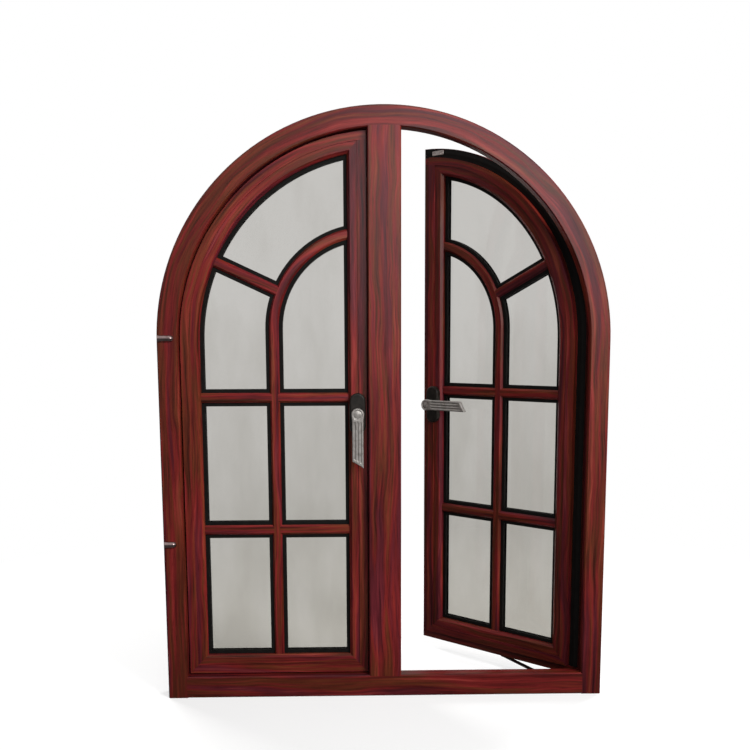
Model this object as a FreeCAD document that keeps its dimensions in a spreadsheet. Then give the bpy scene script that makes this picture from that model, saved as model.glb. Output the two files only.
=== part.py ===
import FreeCAD, Part
import os
import Sketcher

# Arched-top casement window of wood-grain aluminium, with two glazed sashes.
# X runs along the sill, +Y points out of the room and Z is up.
# The origin is the middle of the sill's underside.

# Driving dimensions in millimetres, and angles in degrees.
SIZES = {
    # outer frame and mullion
    "frame_width": 1000,
    "spring_height": 816,
    "frame_face": 45,
    "sill_face": 50,
    "rebate": 25,
    "frame_depth": 56,
    "lip_depth": 30,
    "edge_bevel": 2.5,
    "mullion_face": 73,
    # sash section
    "sash_gap": 3,
    "sash_setback": 18,
    "sash_depth": 37,
    "sash_face": 41.5,
    "sash_overlap": 23,
    "flange_gap": 4,
    "rear_lip": 5,
    "bead_width": 23,
    "bead_setback": 2,
    "bead_bevel": 6,
    # glazing
    "glass_thickness": 8,
    "glass_bite": 6,
    "front_gasket": 8,
    "rear_gasket": 2,
    "gasket_cover": 5,
    "gasket_lip": 8,
    # glazing bars
    "bar_width": 22,
    "bar_setback": 8,
    "bar_bevel": 4,
    "bar_web": 6,
    "lower_bar_height": 388.5,
    "upper_bar_height": 690.5,
    "radial_angle": 25,
    "inner_arch_rise": 27,
    "inner_arch_centre": 35,
    # weather seal in the frame's rebate
    "seal_width": 6,
    "seal_edge": 2,
    "seal_thickness": 2.2,
    # lift-off hinges
    "right_open_angle": 41.7,
    "hinge_inset": 33,
    "hinge_standoff": 5.5,
    "hinge_length": 80,
    "knuckle_gap": 0.5,
    "barrel_radius": 5,
    "leaf_width": 22,
    "leaf_thickness": 2.5,
    "leaf_gap": 1,
    "lower_hinge_height": 190,
    "upper_hinge_height": 690,
    # lever handles
    "handle_height": 655,
    "handle_inset": 21,
    "plate_width": 36,
    "plate_height": 92,
    "plate_thickness": 12,
    "neck_radius": 10,
    "neck_length": 17,
    "lever_width": 28,
    "lever_length": 119,
    "lever_thickness": 9,
    "lever_slant": 15,
    "flute_width": 3,
    "flute_depth": 1.5,
    "flute_spacing": 6.5,
    # corner lock plates
    "lock_length": 34,
    "lock_width": 11,
    "lock_thickness": 1.5,
    "lock_rise": 5,
    # sliding stay of the open sash
    "stay_reach": 203,
    "stay_length": 158,
    "stay_width": 12,
    "stay_thickness": 1.8,
    "stay_rivet": 7,
    "shoe_length": 26,
    "shoe_width": 10,
    "track_width": 16,
    "track_thickness": 1,
    # fixing pegs on the left jamb
    "peg_radius": 7.5,
    "peg_facet": 30,
    "upper_peg_height": 823,
    "upper_peg_length": 35,
    "lower_peg_height": 362,
    "lower_peg_length": 27,
}

os.makedirs("parts", exist_ok=True)
doc = FreeCAD.newDocument("arched_window")
sheet = doc.addObject("Spreadsheet::Sheet", "Sizes")
for row, (alias, value) in enumerate(SIZES.items(), start=1):
    sheet.set(f"A{row}", alias)
    sheet.set(f"B{row}", str(value))
    sheet.setAlias(f"B{row}", alias)
doc.recompute()


class Term:
    """A length worked out from the sheet, kept as the text of its expression."""

    def __init__(self, text):
        self.text = text

    def __add__(self, other):
        return Term(f"({self.text} + {term(other).text})")

    def __sub__(self, other):
        return Term(f"({self.text} - {term(other).text})")

    def __mul__(self, other):
        return Term(f"({self.text} * {term(other).text})")

    def __truediv__(self, other):
        return Term(f"({self.text} / {term(other).text})")

    def __neg__(self):
        return Term(f"(-1 * {self.text})")

    def value(self):
        return float(sheet.evalExpression(self.text))


def term(value):
    return value if isinstance(value, Term) else Term(str(value))


def leg(hypotenuse, other):
    """The third side of a right triangle."""
    return Term(f"sqrt({hypotenuse.text} ^ 2 - {other.text} ^ 2)")


def cosine(angle):
    return Term(f"cos({angle.text} * 1 deg)")


def sine(angle):
    return Term(f"sin({angle.text} * 1 deg)")


class Dimensions:
    """The sheet's driving dimensions by name."""

    def __getattr__(self, alias):
        return Term(f"Sizes.{alias}")


d = Dimensions()
zero = term(0)

# Depth stations, from the room side outwards.
room_face = -d.frame_depth / 2
street_face = d.frame_depth / 2
lip_back = room_face + d.lip_depth
sash_front = room_face + d.sash_setback
sash_back = sash_front + d.sash_depth
flange_front = lip_back + d.flange_gap
bead_front = sash_front + d.bead_setback
bar_front = sash_front + d.bar_setback
rear_lip_front = sash_back - d.rear_lip
glass_back = rear_lip_front - d.rear_gasket
glass_front = glass_back - d.glass_thickness
bead_back = glass_front - d.front_gasket

# Widths from the middle of the window, and heights from the sill's underside.
half_width = d.frame_width / 2
lip_edge = half_width - d.frame_face
frame_web = d.frame_face - d.rebate
sill_web = d.sill_face - d.rebate
mullion_edge = d.mullion_face / 2
sash_edge = lip_edge - d.sash_gap
clear_outer = sash_edge - d.sash_face
clear_inner = mullion_edge + d.sash_gap + d.sash_face
clear_bottom = d.sill_face + d.sash_gap + d.sash_face
sash_member = d.sash_face + d.sash_overlap
spring = d.spring_height
bar_offset = (clear_inner + clear_outer) / 2
half_bar = d.bar_width / 2
half_web = d.bar_web / 2
inner_spring = spring + d.inner_arch_rise
inner_centre = d.inner_arch_centre
inner_radius = bar_offset - inner_centre
centre_along = inner_centre * cosine(d.radial_angle) + d.inner_arch_rise * sine(d.radial_angle)
centre_aside = d.inner_arch_rise * cosine(d.radial_angle) - inner_centre * sine(d.radial_angle)
radial_start = centre_along + leg(inner_radius, centre_aside)
hinge_x = half_width - d.hinge_inset
hinge_y = sash_back + d.hinge_standoff
margin = d.sash_gap

pieces = {}


def keep(name, piece):
    """Name a finished piece, which becomes one node."""
    piece.Label = name
    pieces[name] = piece
    return piece


def bind(item, prop, expression):
    item.setExpression(prop, term(expression).text)


class Blank:
    """A body of pads, turns and cuts whose outlines follow the sheet."""

    def __init__(self, name, swung=False):
        self.body = doc.addObject("PartDesign::Body", name)
        self.body.AllowCompound = True
        self.count = 0
        if swung:
            swing_open(self.body)

    def outline(self, plane, points, offset=zero, arcs=None):
        """A closed outline on an origin plane, with arcs named by their first point."""
        sketch = self.sketch(plane, offset)
        count = len(points)
        arcs = arcs or {}
        places = [FreeCAD.Vector(a.value(), b.value(), 0) for a, b in points]
        for index in range(count):
            start, end = places[index], places[(index + 1) % count]
            if index in arcs:
                sketch.addGeometry(arc_between(start, end, arcs[index]), False)
            else:
                sketch.addGeometry(Part.LineSegment(start, end), False)
        ends = [2 if index not in arcs or arcs[index][1] else 1 for index in range(count)]
        starts = [3 - end for end in ends]
        for index in range(count):
            after = (index + 1) % count
            sketch.addConstraint(
                Sketcher.Constraint("Coincident", index, ends[index], after, starts[after]))
        for index, point in enumerate(points):
            for kind, place in zip(("DistanceX", "DistanceY"), point):
                self.hold(sketch, kind, index, starts[index], place)
        for index, (centre, _) in arcs.items():
            chord = places[(index + 1) % count] - places[index]
            if abs(chord.x) > abs(chord.y):
                self.hold(sketch, "DistanceY", index, 3, centre[1])
            else:
                self.hold(sketch, "DistanceX", index, 3, centre[0])
        return sketch

    def circle(self, plane, centre, radius, offset=zero):
        sketch = self.sketch(plane, offset)
        place = FreeCAD.Vector(centre[0].value(), centre[1].value(), 0)
        sketch.addGeometry(Part.Circle(place, FreeCAD.Vector(0, 0, 1), radius.value()), False)
        for kind, side in zip(("DistanceX", "DistanceY"), centre):
            self.hold(sketch, kind, 0, 3, side)
        size = sketch.addConstraint(Sketcher.Constraint("Radius", 0, radius.value()))
        bind(sketch, f"Constraints[{size}]", radius)
        return sketch

    def sketch(self, plane, offset):
        self.count += 1
        sketch = self.body.newObject("Sketcher::SketchObject", f"{self.body.Name}_outline{self.count}")
        support = [item for item in self.body.Origin.OriginFeatures if item.Role == plane][0]
        sketch.AttachmentSupport = (support, [""])
        sketch.MapMode = "FlatFace"
        bind(sketch, "AttachmentOffset.Base.z", offset)
        return sketch

    @staticmethod
    def hold(sketch, kind, geometry, point, place):
        size = sketch.addConstraint(
            Sketcher.Constraint(kind, -1, 1, geometry, point, place.value()))
        bind(sketch, f"Constraints[{size}]", place)

    def feature(self, kind, sketch):
        self.count += 1
        item = self.body.newObject(f"PartDesign::{kind}", f"{self.body.Name}_{kind.lower()}{self.count}")
        item.Profile = sketch
        return item

    def pad(self, sketch, length):
        bind(self.feature("Pad", sketch), "Length", length)
        return self

    def turn(self, sketch, angle, backwards, axis="V_Axis"):
        """Turn a section about an axis of its sketch, by default the arch's own."""
        item = self.feature("Revolution", sketch)
        item.ReferenceAxis = (sketch, [axis])
        item.Angle = angle
        item.Reversed = backwards
        return self

    def cut(self, sketch, length):
        """Cut to a depth on the side that the sketch's plane faces away from."""
        bind(self.feature("Pocket", sketch), "Length", length)
        return self

    def upright(self, points, low, high, arcs=None):
        """A section drawn in plan, raised from one height to another."""
        return self.pad(self.outline("XY_Plane", points, low, arcs), high - low)

    def level(self, points, start, end):
        """A section drawn from the side, run along the sill from start to end."""
        return self.pad(self.outline("YZ_Plane", points, start), end - start)

    def sloping(self, points, side, near, far):
        """A section run along the radial bar's slope, from one radius to another."""
        lean, rise = cosine(d.radial_angle), sine(d.radial_angle)
        sketch = self.outline("YZ_Plane", points, near * lean * side)
        sketch.AttachmentOffset.Rotation.Axis = FreeCAD.Vector(1, 0, 0)
        bind(sketch, "AttachmentOffset.Base.y", spring + near * rise)
        bind(sketch, "AttachmentOffset.Rotation.Angle", d.radial_angle * -side)
        self.pad(sketch, far - near)
        self.body.Tip.Reversed = side < 0
        return self

    def panel(self, points, front, back, arcs=None):
        """An elevation outline, run through the wall from front to back."""
        return self.pad(self.outline("XZ_Plane", points, -back, arcs), back - front)

    def trim(self, points, front, back, arcs=None):
        """Cut an elevation outline out of the body from front to back."""
        return self.cut(self.outline("XZ_Plane", points, -front, arcs), back - front)


def arc_between(start, end, arc):
    """The arc from start to end about a centre, the short way round."""
    centre, forwards = arc
    place = FreeCAD.Vector(centre[0].value(), centre[1].value(), 0)
    first, last = (start, end) if forwards else (end, start)
    circle = Part.Circle(place, FreeCAD.Vector(0, 0, 1), (start - place).Length)
    return Part.ArcOfCircle(circle, circle.parameter(first), circle.parameter(last))


def swing_open(item):
    """Turn a piece of the right sash about its hinge axis, out of the room."""
    lean, rise = cosine(d.right_open_angle), sine(d.right_open_angle)
    bind(item, "Placement.Rotation.Angle", -d.right_open_angle)
    bind(item, "Placement.Base.x", hinge_x - hinge_x * lean - hinge_y * rise)
    bind(item, "Placement.Base.y", hinge_y + hinge_x * rise - hinge_y * lean)


def joined(name, parts):
    fuse = doc.addObject("Part::MultiFuse", name)
    fuse.Shapes = parts
    fuse.Refine = True
    return fuse


def coped(name, base, against):
    """Cut a member's ends to the profiles that they meet."""
    cut = doc.addObject("Part::Cut", name)
    cut.Base = base
    cut.Tool = against[0] if len(against) == 1 else joined(f"{name}_tool", against)
    cut.Refine = True
    return cut


def grouped(name, parts):
    group = doc.addObject("Part::Compound", name)
    group.Links = parts
    return group


def flipped(points):
    """Exchange the two directions of an outline."""
    return [(b, a) for a, b in points]


def frame_section(outer, inward, width):
    """The outer frame's section: a face with a lip, and a web behind it."""
    face, web, bevel = width * inward, (width - d.rebate) * inward, d.edge_bevel * inward
    return [
        (outer, room_face + d.edge_bevel),
        (outer + bevel, room_face),
        (outer + face - bevel, room_face),
        (outer + face, room_face + d.edge_bevel),
        (outer + face, lip_back),
        (outer + web, lip_back),
        (outer + web, street_face),
        (outer, street_face),
    ]


def sash_section(clear, outward):
    """A sash member without its bead, from the clear edge of the glass outwards."""
    face, flange = clear + d.sash_face * outward, clear + sash_member * outward
    rebate = clear + d.bead_width * outward
    return [
        (rebate, sash_front),
        (face, sash_front),
        (face, flange_front),
        (flange, flange_front),
        (flange, sash_back),
        (clear, sash_back),
        (clear, rear_lip_front),
        (rebate, rear_lip_front),
    ]


def bead_section(clear, outward):
    """The glazing bead, bevelled towards the glass."""
    bevel = d.bead_bevel * outward
    return [
        (clear + d.bead_width * outward, bead_front),
        (clear + d.bead_width * outward, bead_back),
        (clear, bead_back),
        (clear, bead_front + d.bead_bevel),
        (clear + bevel, bead_front),
    ]


def bar_section(middle):
    """A glazing bar: two caps with a web between the panes."""
    low, high = middle - half_bar, middle + half_bar
    return [
        (low, bar_front + d.bar_bevel),
        (low + d.bar_bevel, bar_front),
        (high - d.bar_bevel, bar_front),
        (high, bar_front + d.bar_bevel),
        (high, bead_back),
        (middle + half_web, bead_back),
        (middle + half_web, rear_lip_front),
        (high, rear_lip_front),
        (high, sash_back),
        (low, sash_back),
        (low, rear_lip_front),
        (middle - half_web, rear_lip_front),
        (middle - half_web, bead_back),
        (low, bead_back),
    ]


def build_frame():
    """Jambs, a sill scribed between them, the arched head and the mullion."""
    jambs = []
    for name, side in (("left_jamb", -1), ("right_jamb", 1)):
        jamb = Blank(name)
        jamb.upright(frame_section(half_width * side, term(-side), d.frame_face), zero, spring)
        jambs.append(keep(name, jamb.body))
    sill = Blank("sill_blank")
    reach = half_width - frame_web / 2
    sill.level(flipped(frame_section(zero, term(1), d.sill_face)), -reach, reach)
    sill_rail = keep("sill_rail", coped("sill_rail", sill.body, jambs))
    arch = Blank("arch_head")
    section = frame_section(half_width, term(-1), d.frame_face)
    arch.turn(arch.outline("XY_Plane", section, spring), 180, True)
    keep("arch_head", arch.body)
    web = mullion_edge - d.rebate
    post = Blank("mullion_blank")
    post.upright([
        (-mullion_edge, room_face + d.edge_bevel),
        (-mullion_edge + d.edge_bevel, room_face),
        (mullion_edge - d.edge_bevel, room_face),
        (mullion_edge, room_face + d.edge_bevel),
        (mullion_edge, lip_back),
        (web, lip_back),
        (web, street_face),
        (-web, street_face),
        (-web, lip_back),
        (-mullion_edge, lip_back),
    ], sill_web / 2, spring + half_width - frame_web / 2)
    keep("mullion", coped("mullion", post.body, [sill_rail, arch.body]))


def arched_region(inner, outer, bottom, side, growth):
    """One sash opening in elevation, grown by an offset, and the arc of its top."""
    near, far, low = inner - growth, outer + growth, bottom - growth
    points = [
        (near * side, low),
        (far * side, low),
        (far * side, spring),
        (near * side, spring + leg(far, near)),
    ]
    return points, {2: ((zero, spring), side > 0)}


def build_seals():
    """A black weather seal round each opening, on the back of the frame's lip."""
    rings = []
    for side, hand in ((-1, "left"), (1, "right")):
        ring = Blank(f"{hand}_seal")
        seal_back = lip_back + d.seal_thickness
        points, arcs = arched_region(
            mullion_edge, lip_edge, d.sill_face, side, d.seal_edge + d.seal_width)
        ring.panel(points, lip_back, seal_back, arcs)
        points, arcs = arched_region(mullion_edge, lip_edge, d.sill_face, side, d.seal_edge)
        ring.trim(points, lip_back, seal_back, arcs)
        rings.append(ring.body)
    keep("rebate_seals", grouped("rebate_seals", rings))


class Sash:
    """One casement sash: its members, beads, bars, panes and furniture."""

    def __init__(self, hand, side, lever_level):
        self.hand = hand
        self.side = side
        self.swung = side > 0
        self.lever_level = lever_level

    def blank(self, name):
        return Blank(f"{self.hand}_{name}", self.swung)

    def keep(self, name, piece):
        return keep(f"{self.hand}_{name}", piece)

    def across(self, distance):
        """A distance from the middle of the window, on this sash's side."""
        return distance * self.side

    def build(self):
        self.build_members()
        self.build_beads()
        self.build_bars()
        self.build_glazing()
        self.build_hinges()
        self.build_handle()
        self.build_lock_plate()

    def turned(self, name, section, centre=zero, height=spring):
        """A curved member, turned a quarter round from its spring line, by default the head's."""
        blank = self.blank(name)
        outline = blank.outline("XY_Plane", section, height)
        bind(outline, "AttachmentOffset.Base.x", self.across(centre))
        return blank.turn(outline, 90, self.side > 0)

    def build_members(self):
        """Hinge stile, bottom rail, arched rail and meeting stile."""
        side = self.side
        low = clear_bottom - sash_member
        far, near = clear_outer + sash_member, clear_inner - sash_member
        outer_corner = (self.across(far + margin), low - margin)
        outer_inside = (self.across(clear_outer - margin), clear_bottom + margin)
        inner_corner = (self.across(near - margin), low - margin)
        inner_inside = (self.across(clear_inner + margin), clear_bottom + margin)

        stile = self.blank("hinge_stile")
        stile.upright(sash_section(self.across(clear_outer), term(side)), low, spring)
        beside = (outer_inside[0], outer_corner[1])
        stile.trim([outer_corner, outer_inside, beside], sash_front, sash_back)
        self.hinge_stile = self.keep("hinge_stile", stile.body)

        rail = self.blank("bottom_rail")
        start, end = (near, far) if side > 0 else (-far, -near)
        rail.level(flipped(sash_section(clear_bottom, term(-1))), start, end)
        for corner, inside in ((outer_corner, outer_inside), (inner_corner, inner_inside)):
            beside = (corner[0], inside[1])
            rail.trim([corner, inside, beside], sash_front, sash_back)
        self.bottom_rail = self.keep("bottom_rail", rail.body)

        arch = self.turned("arch_rail", sash_section(self.across(clear_outer), term(side)))
        top = spring + half_width
        for edge, back in ((near, sash_back), (near + d.sash_overlap, flange_front)):
            arch.trim([(self.across(edge), spring), (self.across(edge), top),
                       (self.across(-margin), top), (self.across(-margin), spring)],
                      sash_front, back)
        self.arch_rail = self.keep("arch_rail", arch.body)

        meeting = self.blank("meeting_stile_blank")
        height = spring + clear_outer + (d.bead_width + d.sash_face) / 2
        meeting.upright(sash_section(self.across(clear_inner), term(-side)), low, height)
        beside = (inner_inside[0], inner_corner[1])
        meeting.trim([inner_corner, inner_inside, beside], sash_front, sash_back)
        self.meeting_stile = self.keep("meeting_stile", coped(
            f"{self.hand}_meeting_stile", meeting.body, [self.arch_rail]))

    def build_beads(self):
        """One ring of glazing bead, mitred at the bottom corners."""
        side = self.side
        low = clear_bottom - d.bead_width
        far, near = clear_outer + d.bead_width, clear_inner - d.bead_width
        stile = self.blank("hinge_bead")
        stile.upright(bead_section(self.across(clear_outer), term(side)), low, spring)
        meeting = self.blank("meeting_bead")
        meeting.upright(bead_section(self.across(clear_inner), term(-side)), low, spring)
        rail = self.blank("rail_bead")
        start, end = (near, far) if side > 0 else (-far, -near)
        rail.level(flipped(bead_section(clear_bottom, term(-1))), start, end)
        arch = self.turned("arch_bead", bead_section(self.across(clear_outer), term(side)))
        top = spring + far
        arch.trim([(self.across(near), spring), (self.across(near), top),
                   (self.across(-margin), top), (self.across(-margin), spring)],
                  bead_front, bead_back)
        rise = self.blank("meeting_bead_top")
        crest = spring + leg(far, near)
        rise.upright(bead_section(self.across(clear_inner), term(-side)), spring, crest)
        crown = self.blank("arch_bead_room")
        points, arcs = arched_region(near, far, spring, side, zero)
        crown.panel([points[0], points[1], points[3]], bead_front, bead_back, {1: arcs[2]})
        top_bead = doc.addObject("Part::Common", f"{self.hand}_meeting_bead_crown")
        top_bead.Base = rise.body
        top_bead.Tool = crown.body
        ring = joined(f"{self.hand}_glazing_bead",
                      [stile.body, meeting.body, rail.body, arch.body, top_bead])
        self.bead = self.keep("glazing_bead", ring)

    def build_bars(self):
        """Upright bar, inner arch, radial bar and crossbars, each coped to its neighbours."""
        side = self.side
        bite = d.glass_bite
        middle = self.across(bar_offset)

        upright = self.blank("upright_bar_blank")
        upright.upright(bar_section(middle), clear_bottom - bite, inner_spring)
        self.upright = self.keep("upright_bar", coped(
            f"{self.hand}_upright_bar", upright.body, [self.bottom_rail, self.bead]))

        section = bar_section(self.across(inner_radius))
        arch = self.turned("inner_arch_blank", section, inner_centre, inner_spring)
        top = spring + half_width
        edge = self.across(clear_inner - bite)
        arch.trim([(edge, spring), (edge, top), (self.across(-margin), top),
                   (self.across(-margin), spring)], bar_front, sash_back)
        self.inner_arch = self.keep("inner_arch_bar", coped(
            f"{self.hand}_inner_arch_bar", arch.body, [self.meeting_stile, self.bead]))

        for name, height in (("lower_crossbar", d.lower_bar_height),
                             ("upper_crossbar", d.upper_bar_height)):
            bar = self.blank(f"{name}_blank")
            near, far = clear_inner - bite, clear_outer + bite
            start, end = (near, far) if side > 0 else (-far, -near)
            bar.level(flipped(bar_section(height)), start, end)
            self.keep(name, coped(f"{self.hand}_{name}", bar.body, [
                self.upright, self.hinge_stile, self.meeting_stile, self.bead]))

        radial = self.blank("radial_bar_blank")
        radial.sloping(flipped(bar_section(zero)), side, radial_start, clear_outer + bite)
        self.keep("radial_bar", coped(
            f"{self.hand}_radial_bar", radial.body, [self.inner_arch, self.arch_rail, self.bead]))

    def slanted(self, near, far, half):
        """A strip along the radial bar, from one radius to another."""
        lean, rise = cosine(d.radial_angle), sine(d.radial_angle)
        corners = []
        for along, over in ((near, -half), (far, -half), (far, half), (near, half)):
            corners.append((self.across(along * lean - over * rise),
                            spring + along * rise + over * lean))
        return corners

    def pane_layer(self, name, growth, front, back):
        """The clear openings between the bars, each grown by an offset, as one layer."""
        side = self.side
        layer = self.blank(name)
        points, arcs = arched_region(clear_inner, clear_outer, clear_bottom, side, growth)
        layer.panel(points, front, back, arcs)
        half = half_bar - growth
        inner, outer = bar_offset - half, bar_offset + half
        low = clear_bottom - growth - margin
        edge = clear_inner - growth - margin
        centre = (self.across(inner_centre), inner_spring)
        layer.trim([
            (self.across(inner), low),
            (self.across(outer), low),
            (self.across(outer), inner_spring),
            (self.across(edge), inner_spring + leg(outer - inner_centre, edge - inner_centre)),
            (self.across(edge), inner_spring + leg(inner - inner_centre, edge - inner_centre)),
            (self.across(inner), inner_spring),
        ], front, back, {2: (centre, side > 0), 4: (centre, side < 0)})
        far = clear_outer + growth + margin
        for height in (d.lower_bar_height, d.upper_bar_height):
            layer.trim([(self.across(edge), height - half), (self.across(far), height - half),
                        (self.across(far), height + half), (self.across(edge), height + half)],
                       front, back)
        layer.trim(self.slanted(radial_start, far, half), front, back)
        return layer.body

    def build_glazing(self):
        """Seven panes, with a black gasket before and behind each."""
        panes = self.pane_layer("panes", d.glass_bite, glass_front, glass_back)
        self.keep("panes", panes)
        rings = []
        for name, front, back in (("front_gasket", bead_back, glass_front),
                                  ("rear_gasket", glass_back, rear_lip_front)):
            cover = self.pane_layer(f"{name}_cover", d.gasket_cover, front, back)
            light = self.pane_layer(f"{name}_light", -d.gasket_lip, front, back)
            rings.append(coped(f"{self.hand}_{name}", cover, [light]))
        self.keep("pane_gaskets", grouped(f"{self.hand}_pane_gaskets", rings))

    def build_hinges(self):
        """Two lift-off hinges: a frame leaf below, and a sash leaf that sits on its barrel."""
        frame_leaves = []
        sash_leaves = []
        axis = (self.across(hinge_x), hinge_y)
        half = d.hinge_length / 2
        split = d.knuckle_gap / 2
        barrel = half - split
        root = d.barrel_radius + d.leaf_gap
        for name, height in (("lower", d.lower_hinge_height), ("upper", d.upper_hinge_height)):
            low, high = height - half, height + half
            fixed = Blank(f"{self.hand}_{name}_frame_leaf")
            plate = hinge_x + root
            fixed.upright(self.strip(plate, plate + d.leaf_width, street_face), low, high)
            fixed.upright(self.strip(hinge_x, plate, street_face), low, height - split)
            fixed.pad(fixed.circle("XY_Plane", axis, d.barrel_radius, low), barrel)
            frame_leaves.append(fixed.body)

            moving = self.blank(f"{name}_sash_leaf")
            plate = hinge_x - root
            moving.upright(self.strip(plate - d.leaf_width, plate, sash_back), low, high)
            moving.upright(self.strip(plate, hinge_x, sash_back), height + split, high)
            moving.pad(moving.circle("XY_Plane", axis, d.barrel_radius, height + split), barrel)
            sash_leaves.append(moving.body)
        self.keep("frame_hinges", grouped(f"{self.hand}_frame_hinges", frame_leaves))
        self.keep("sash_hinges", grouped(f"{self.hand}_sash_hinges", sash_leaves))

    def strip(self, start, end, seat):
        """A hinge leaf in plan, lying on the face that it is screwed to."""
        back = seat + d.leaf_thickness
        return [(self.across(start), seat), (self.across(end), seat),
                (self.across(end), back), (self.across(start), back)]

    def build_handle(self):
        """A plate with rounded ends on the meeting stile, and a fluted lever on it."""
        centre = mullion_edge + d.sash_gap + d.handle_inset
        plate_front = sash_front - d.plate_thickness
        plate = self.blank("handle_plate")
        points, arcs = self.oblong(centre)
        plate.panel(points, plate_front, sash_front, arcs)
        self.keep("handle_plate", plate.body)

        lever = self.blank("handle_lever")
        lever_back = plate_front - d.neck_length
        lever_front = lever_back - d.lever_thickness
        hub = (self.across(centre), d.handle_height)
        lever.pad(lever.circle("XZ_Plane", hub, d.neck_radius, -plate_front), d.neck_length)
        half = d.lever_width / 2
        points = [self.grip(centre, 0, half), self.grip(centre, 0, -half),
                  self.grip(centre, d.lever_length - d.lever_slant, -half),
                  self.grip(centre, d.lever_length, half)]
        arc = ((self.across(centre), d.handle_height), self.side < 0)
        lever.panel(points, lever_front, lever_back, {0: arc})
        start, end = half, d.lever_length - d.lever_slant * 2
        for way in (-1, 0, 1):
            middle = d.flute_spacing * way
            low, high = middle - d.flute_width / 2, middle + d.flute_width / 2
            lever.trim([self.grip(centre, start, low), self.grip(centre, end, low),
                        self.grip(centre, end, high), self.grip(centre, start, high)],
                       lever_front, lever_front + d.flute_depth)
        self.keep("handle_lever", lever.body)

    def grip(self, centre, along, aside):
        """A point of the lever, which hangs down or lies level towards the hinges."""
        along, aside = term(along), term(aside)
        if self.lever_level:
            return (self.across(centre + along), d.handle_height - aside)
        return (self.across(centre - aside), d.handle_height - along)

    def oblong(self, centre):
        """The handle plate's outline: corners, and the arcs at its top and bottom."""
        x, half = self.across(centre), d.plate_width / 2
        low = d.handle_height - d.plate_height / 2 + half
        high = d.handle_height + d.plate_height / 2 - half
        points = [(x - half, low), (x + half, low), (x + half, high), (x - half, high)]
        return points, {0: ((x, low), True), 2: ((x, high), True)}

    def build_lock_plate(self):
        """A small steel plate on the flange at the top of the meeting stile."""
        start = clear_inner - sash_member + d.sash_overlap
        low = spring + leg(sash_edge, start) + d.lock_rise
        plate = self.blank("lock_plate")
        plate.panel([(self.across(start), low), (self.across(start + d.lock_length), low),
                     (self.across(start + d.lock_length), low + d.lock_width),
                     (self.across(start), low + d.lock_width)],
                    flange_front - d.lock_thickness, flange_front)
        self.keep("lock_plate", plate.body)


def plan_box(start, end, middle, width):
    """A rectangle in plan, from start to end along the sill."""
    front, back = middle - width / 2, middle + width / 2
    return [(start, front), (end, front), (end, back), (start, back)]


def build_stay():
    """The open sash's stay: an arm from under the sash to a track on the sill."""
    lean, rise = cosine(d.right_open_angle), sine(d.right_open_angle)
    track_y = (lip_back + street_face) / 2
    track_top = sill_web + d.track_thickness
    sash_low = clear_bottom - sash_member
    out, back = d.stay_reach, track_y - hinge_y
    seat = (hinge_x - out * lean + back * rise, hinge_y + out * rise + back * lean)
    slide = (seat[0] + leg(d.stay_length, seat[1] - track_y), track_y)

    track = Blank("stay_track")
    half_shoe = d.shoe_length / 2
    wide = slide[0] - half_shoe * 2
    shut = hinge_x - d.stay_reach + d.stay_length + half_shoe
    track.upright(plan_box(wide, shut, track_y, d.track_width), sill_web, track_top)
    keep("stay_track", track.body)

    arm = Blank("stay_arm")
    half = d.stay_width / 2
    run = d.stay_length
    ahead = ((slide[0] - seat[0]) / run, (slide[1] - seat[1]) / run)
    points = []
    for end, way in ((seat, -1), (slide, -1), (slide, 1), (seat, 1)):
        points.append((end[0] - ahead[1] * half * way, end[1] + ahead[0] * half * way))
    plate_low = (track_top + sash_low) / 2 - d.stay_thickness / 2
    plate_high = plate_low + d.stay_thickness
    arm.upright(points, plate_low, plate_high, {1: (slide, True), 3: (seat, True)})
    shoe = plan_box(slide[0] - half_shoe, slide[0] + half_shoe, track_y, d.shoe_width)
    arm.upright(shoe, track_top, plate_high)
    arm.pad(arm.circle("XY_Plane", seat, d.stay_rivet, plate_low), sash_low - plate_low)
    keep("stay_arm", arm.body)


def build_pegs():
    """Two half-round steel pegs with blunt noses, flat on the left jamb's face."""
    pegs = []
    start = -half_width + d.edge_bevel
    for name, height, length in (("upper_peg", d.upper_peg_height, d.upper_peg_length),
                                 ("lower_peg", d.lower_peg_height, d.lower_peg_length)):
        peg = Blank(name)
        tip = start + length
        shoulder = tip - d.peg_radius
        nose = [(shoulder + d.peg_radius * cosine(angle), d.peg_radius * sine(angle))
                for angle in (d.peg_facet, d.peg_facet * 2)]
        profile = peg.outline("XZ_Plane", [
            (start, zero), (tip, zero), *nose, (shoulder, d.peg_radius), (start, d.peg_radius),
        ], -room_face)
        bind(profile, "AttachmentOffset.Base.y", height)
        peg.turn(profile, 180, False, "H_Axis")
        pegs.append(peg.body)
    keep("fixing_pegs", grouped("fixing_pegs", pegs))


def write_pieces():
    """Check every piece, then write each one to its own file."""
    doc.recompute()
    for item in doc.Objects:
        if "Invalid" in item.State or "Error" in item.State:
            raise RuntimeError(f"{item.Label} did not build: {item.State}")
    for name, piece in pieces.items():
        if piece.Shape.isNull() or not piece.Shape.isValid() or not piece.Shape.Solids:
            raise RuntimeError(f"{name} has no sound solid")
    for name, piece in pieces.items():
        piece.Shape.exportStep(f"parts/{name}.step")


build_frame()
build_seals()
Sash("left", -1, lever_level=False).build()
Sash("right", 1, lever_level=True).build()
build_stay()
build_pegs()
write_pieces()
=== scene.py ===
import logging
import math
from abc import ABC, abstractmethod
from collections.abc import Callable, Mapping
from dataclasses import dataclass, replace
from enum import Enum
from functools import cached_property
from types import MappingProxyType
from typing import TypeVar

import bmesh
import bpy
from mathutils import Matrix, Vector


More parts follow.
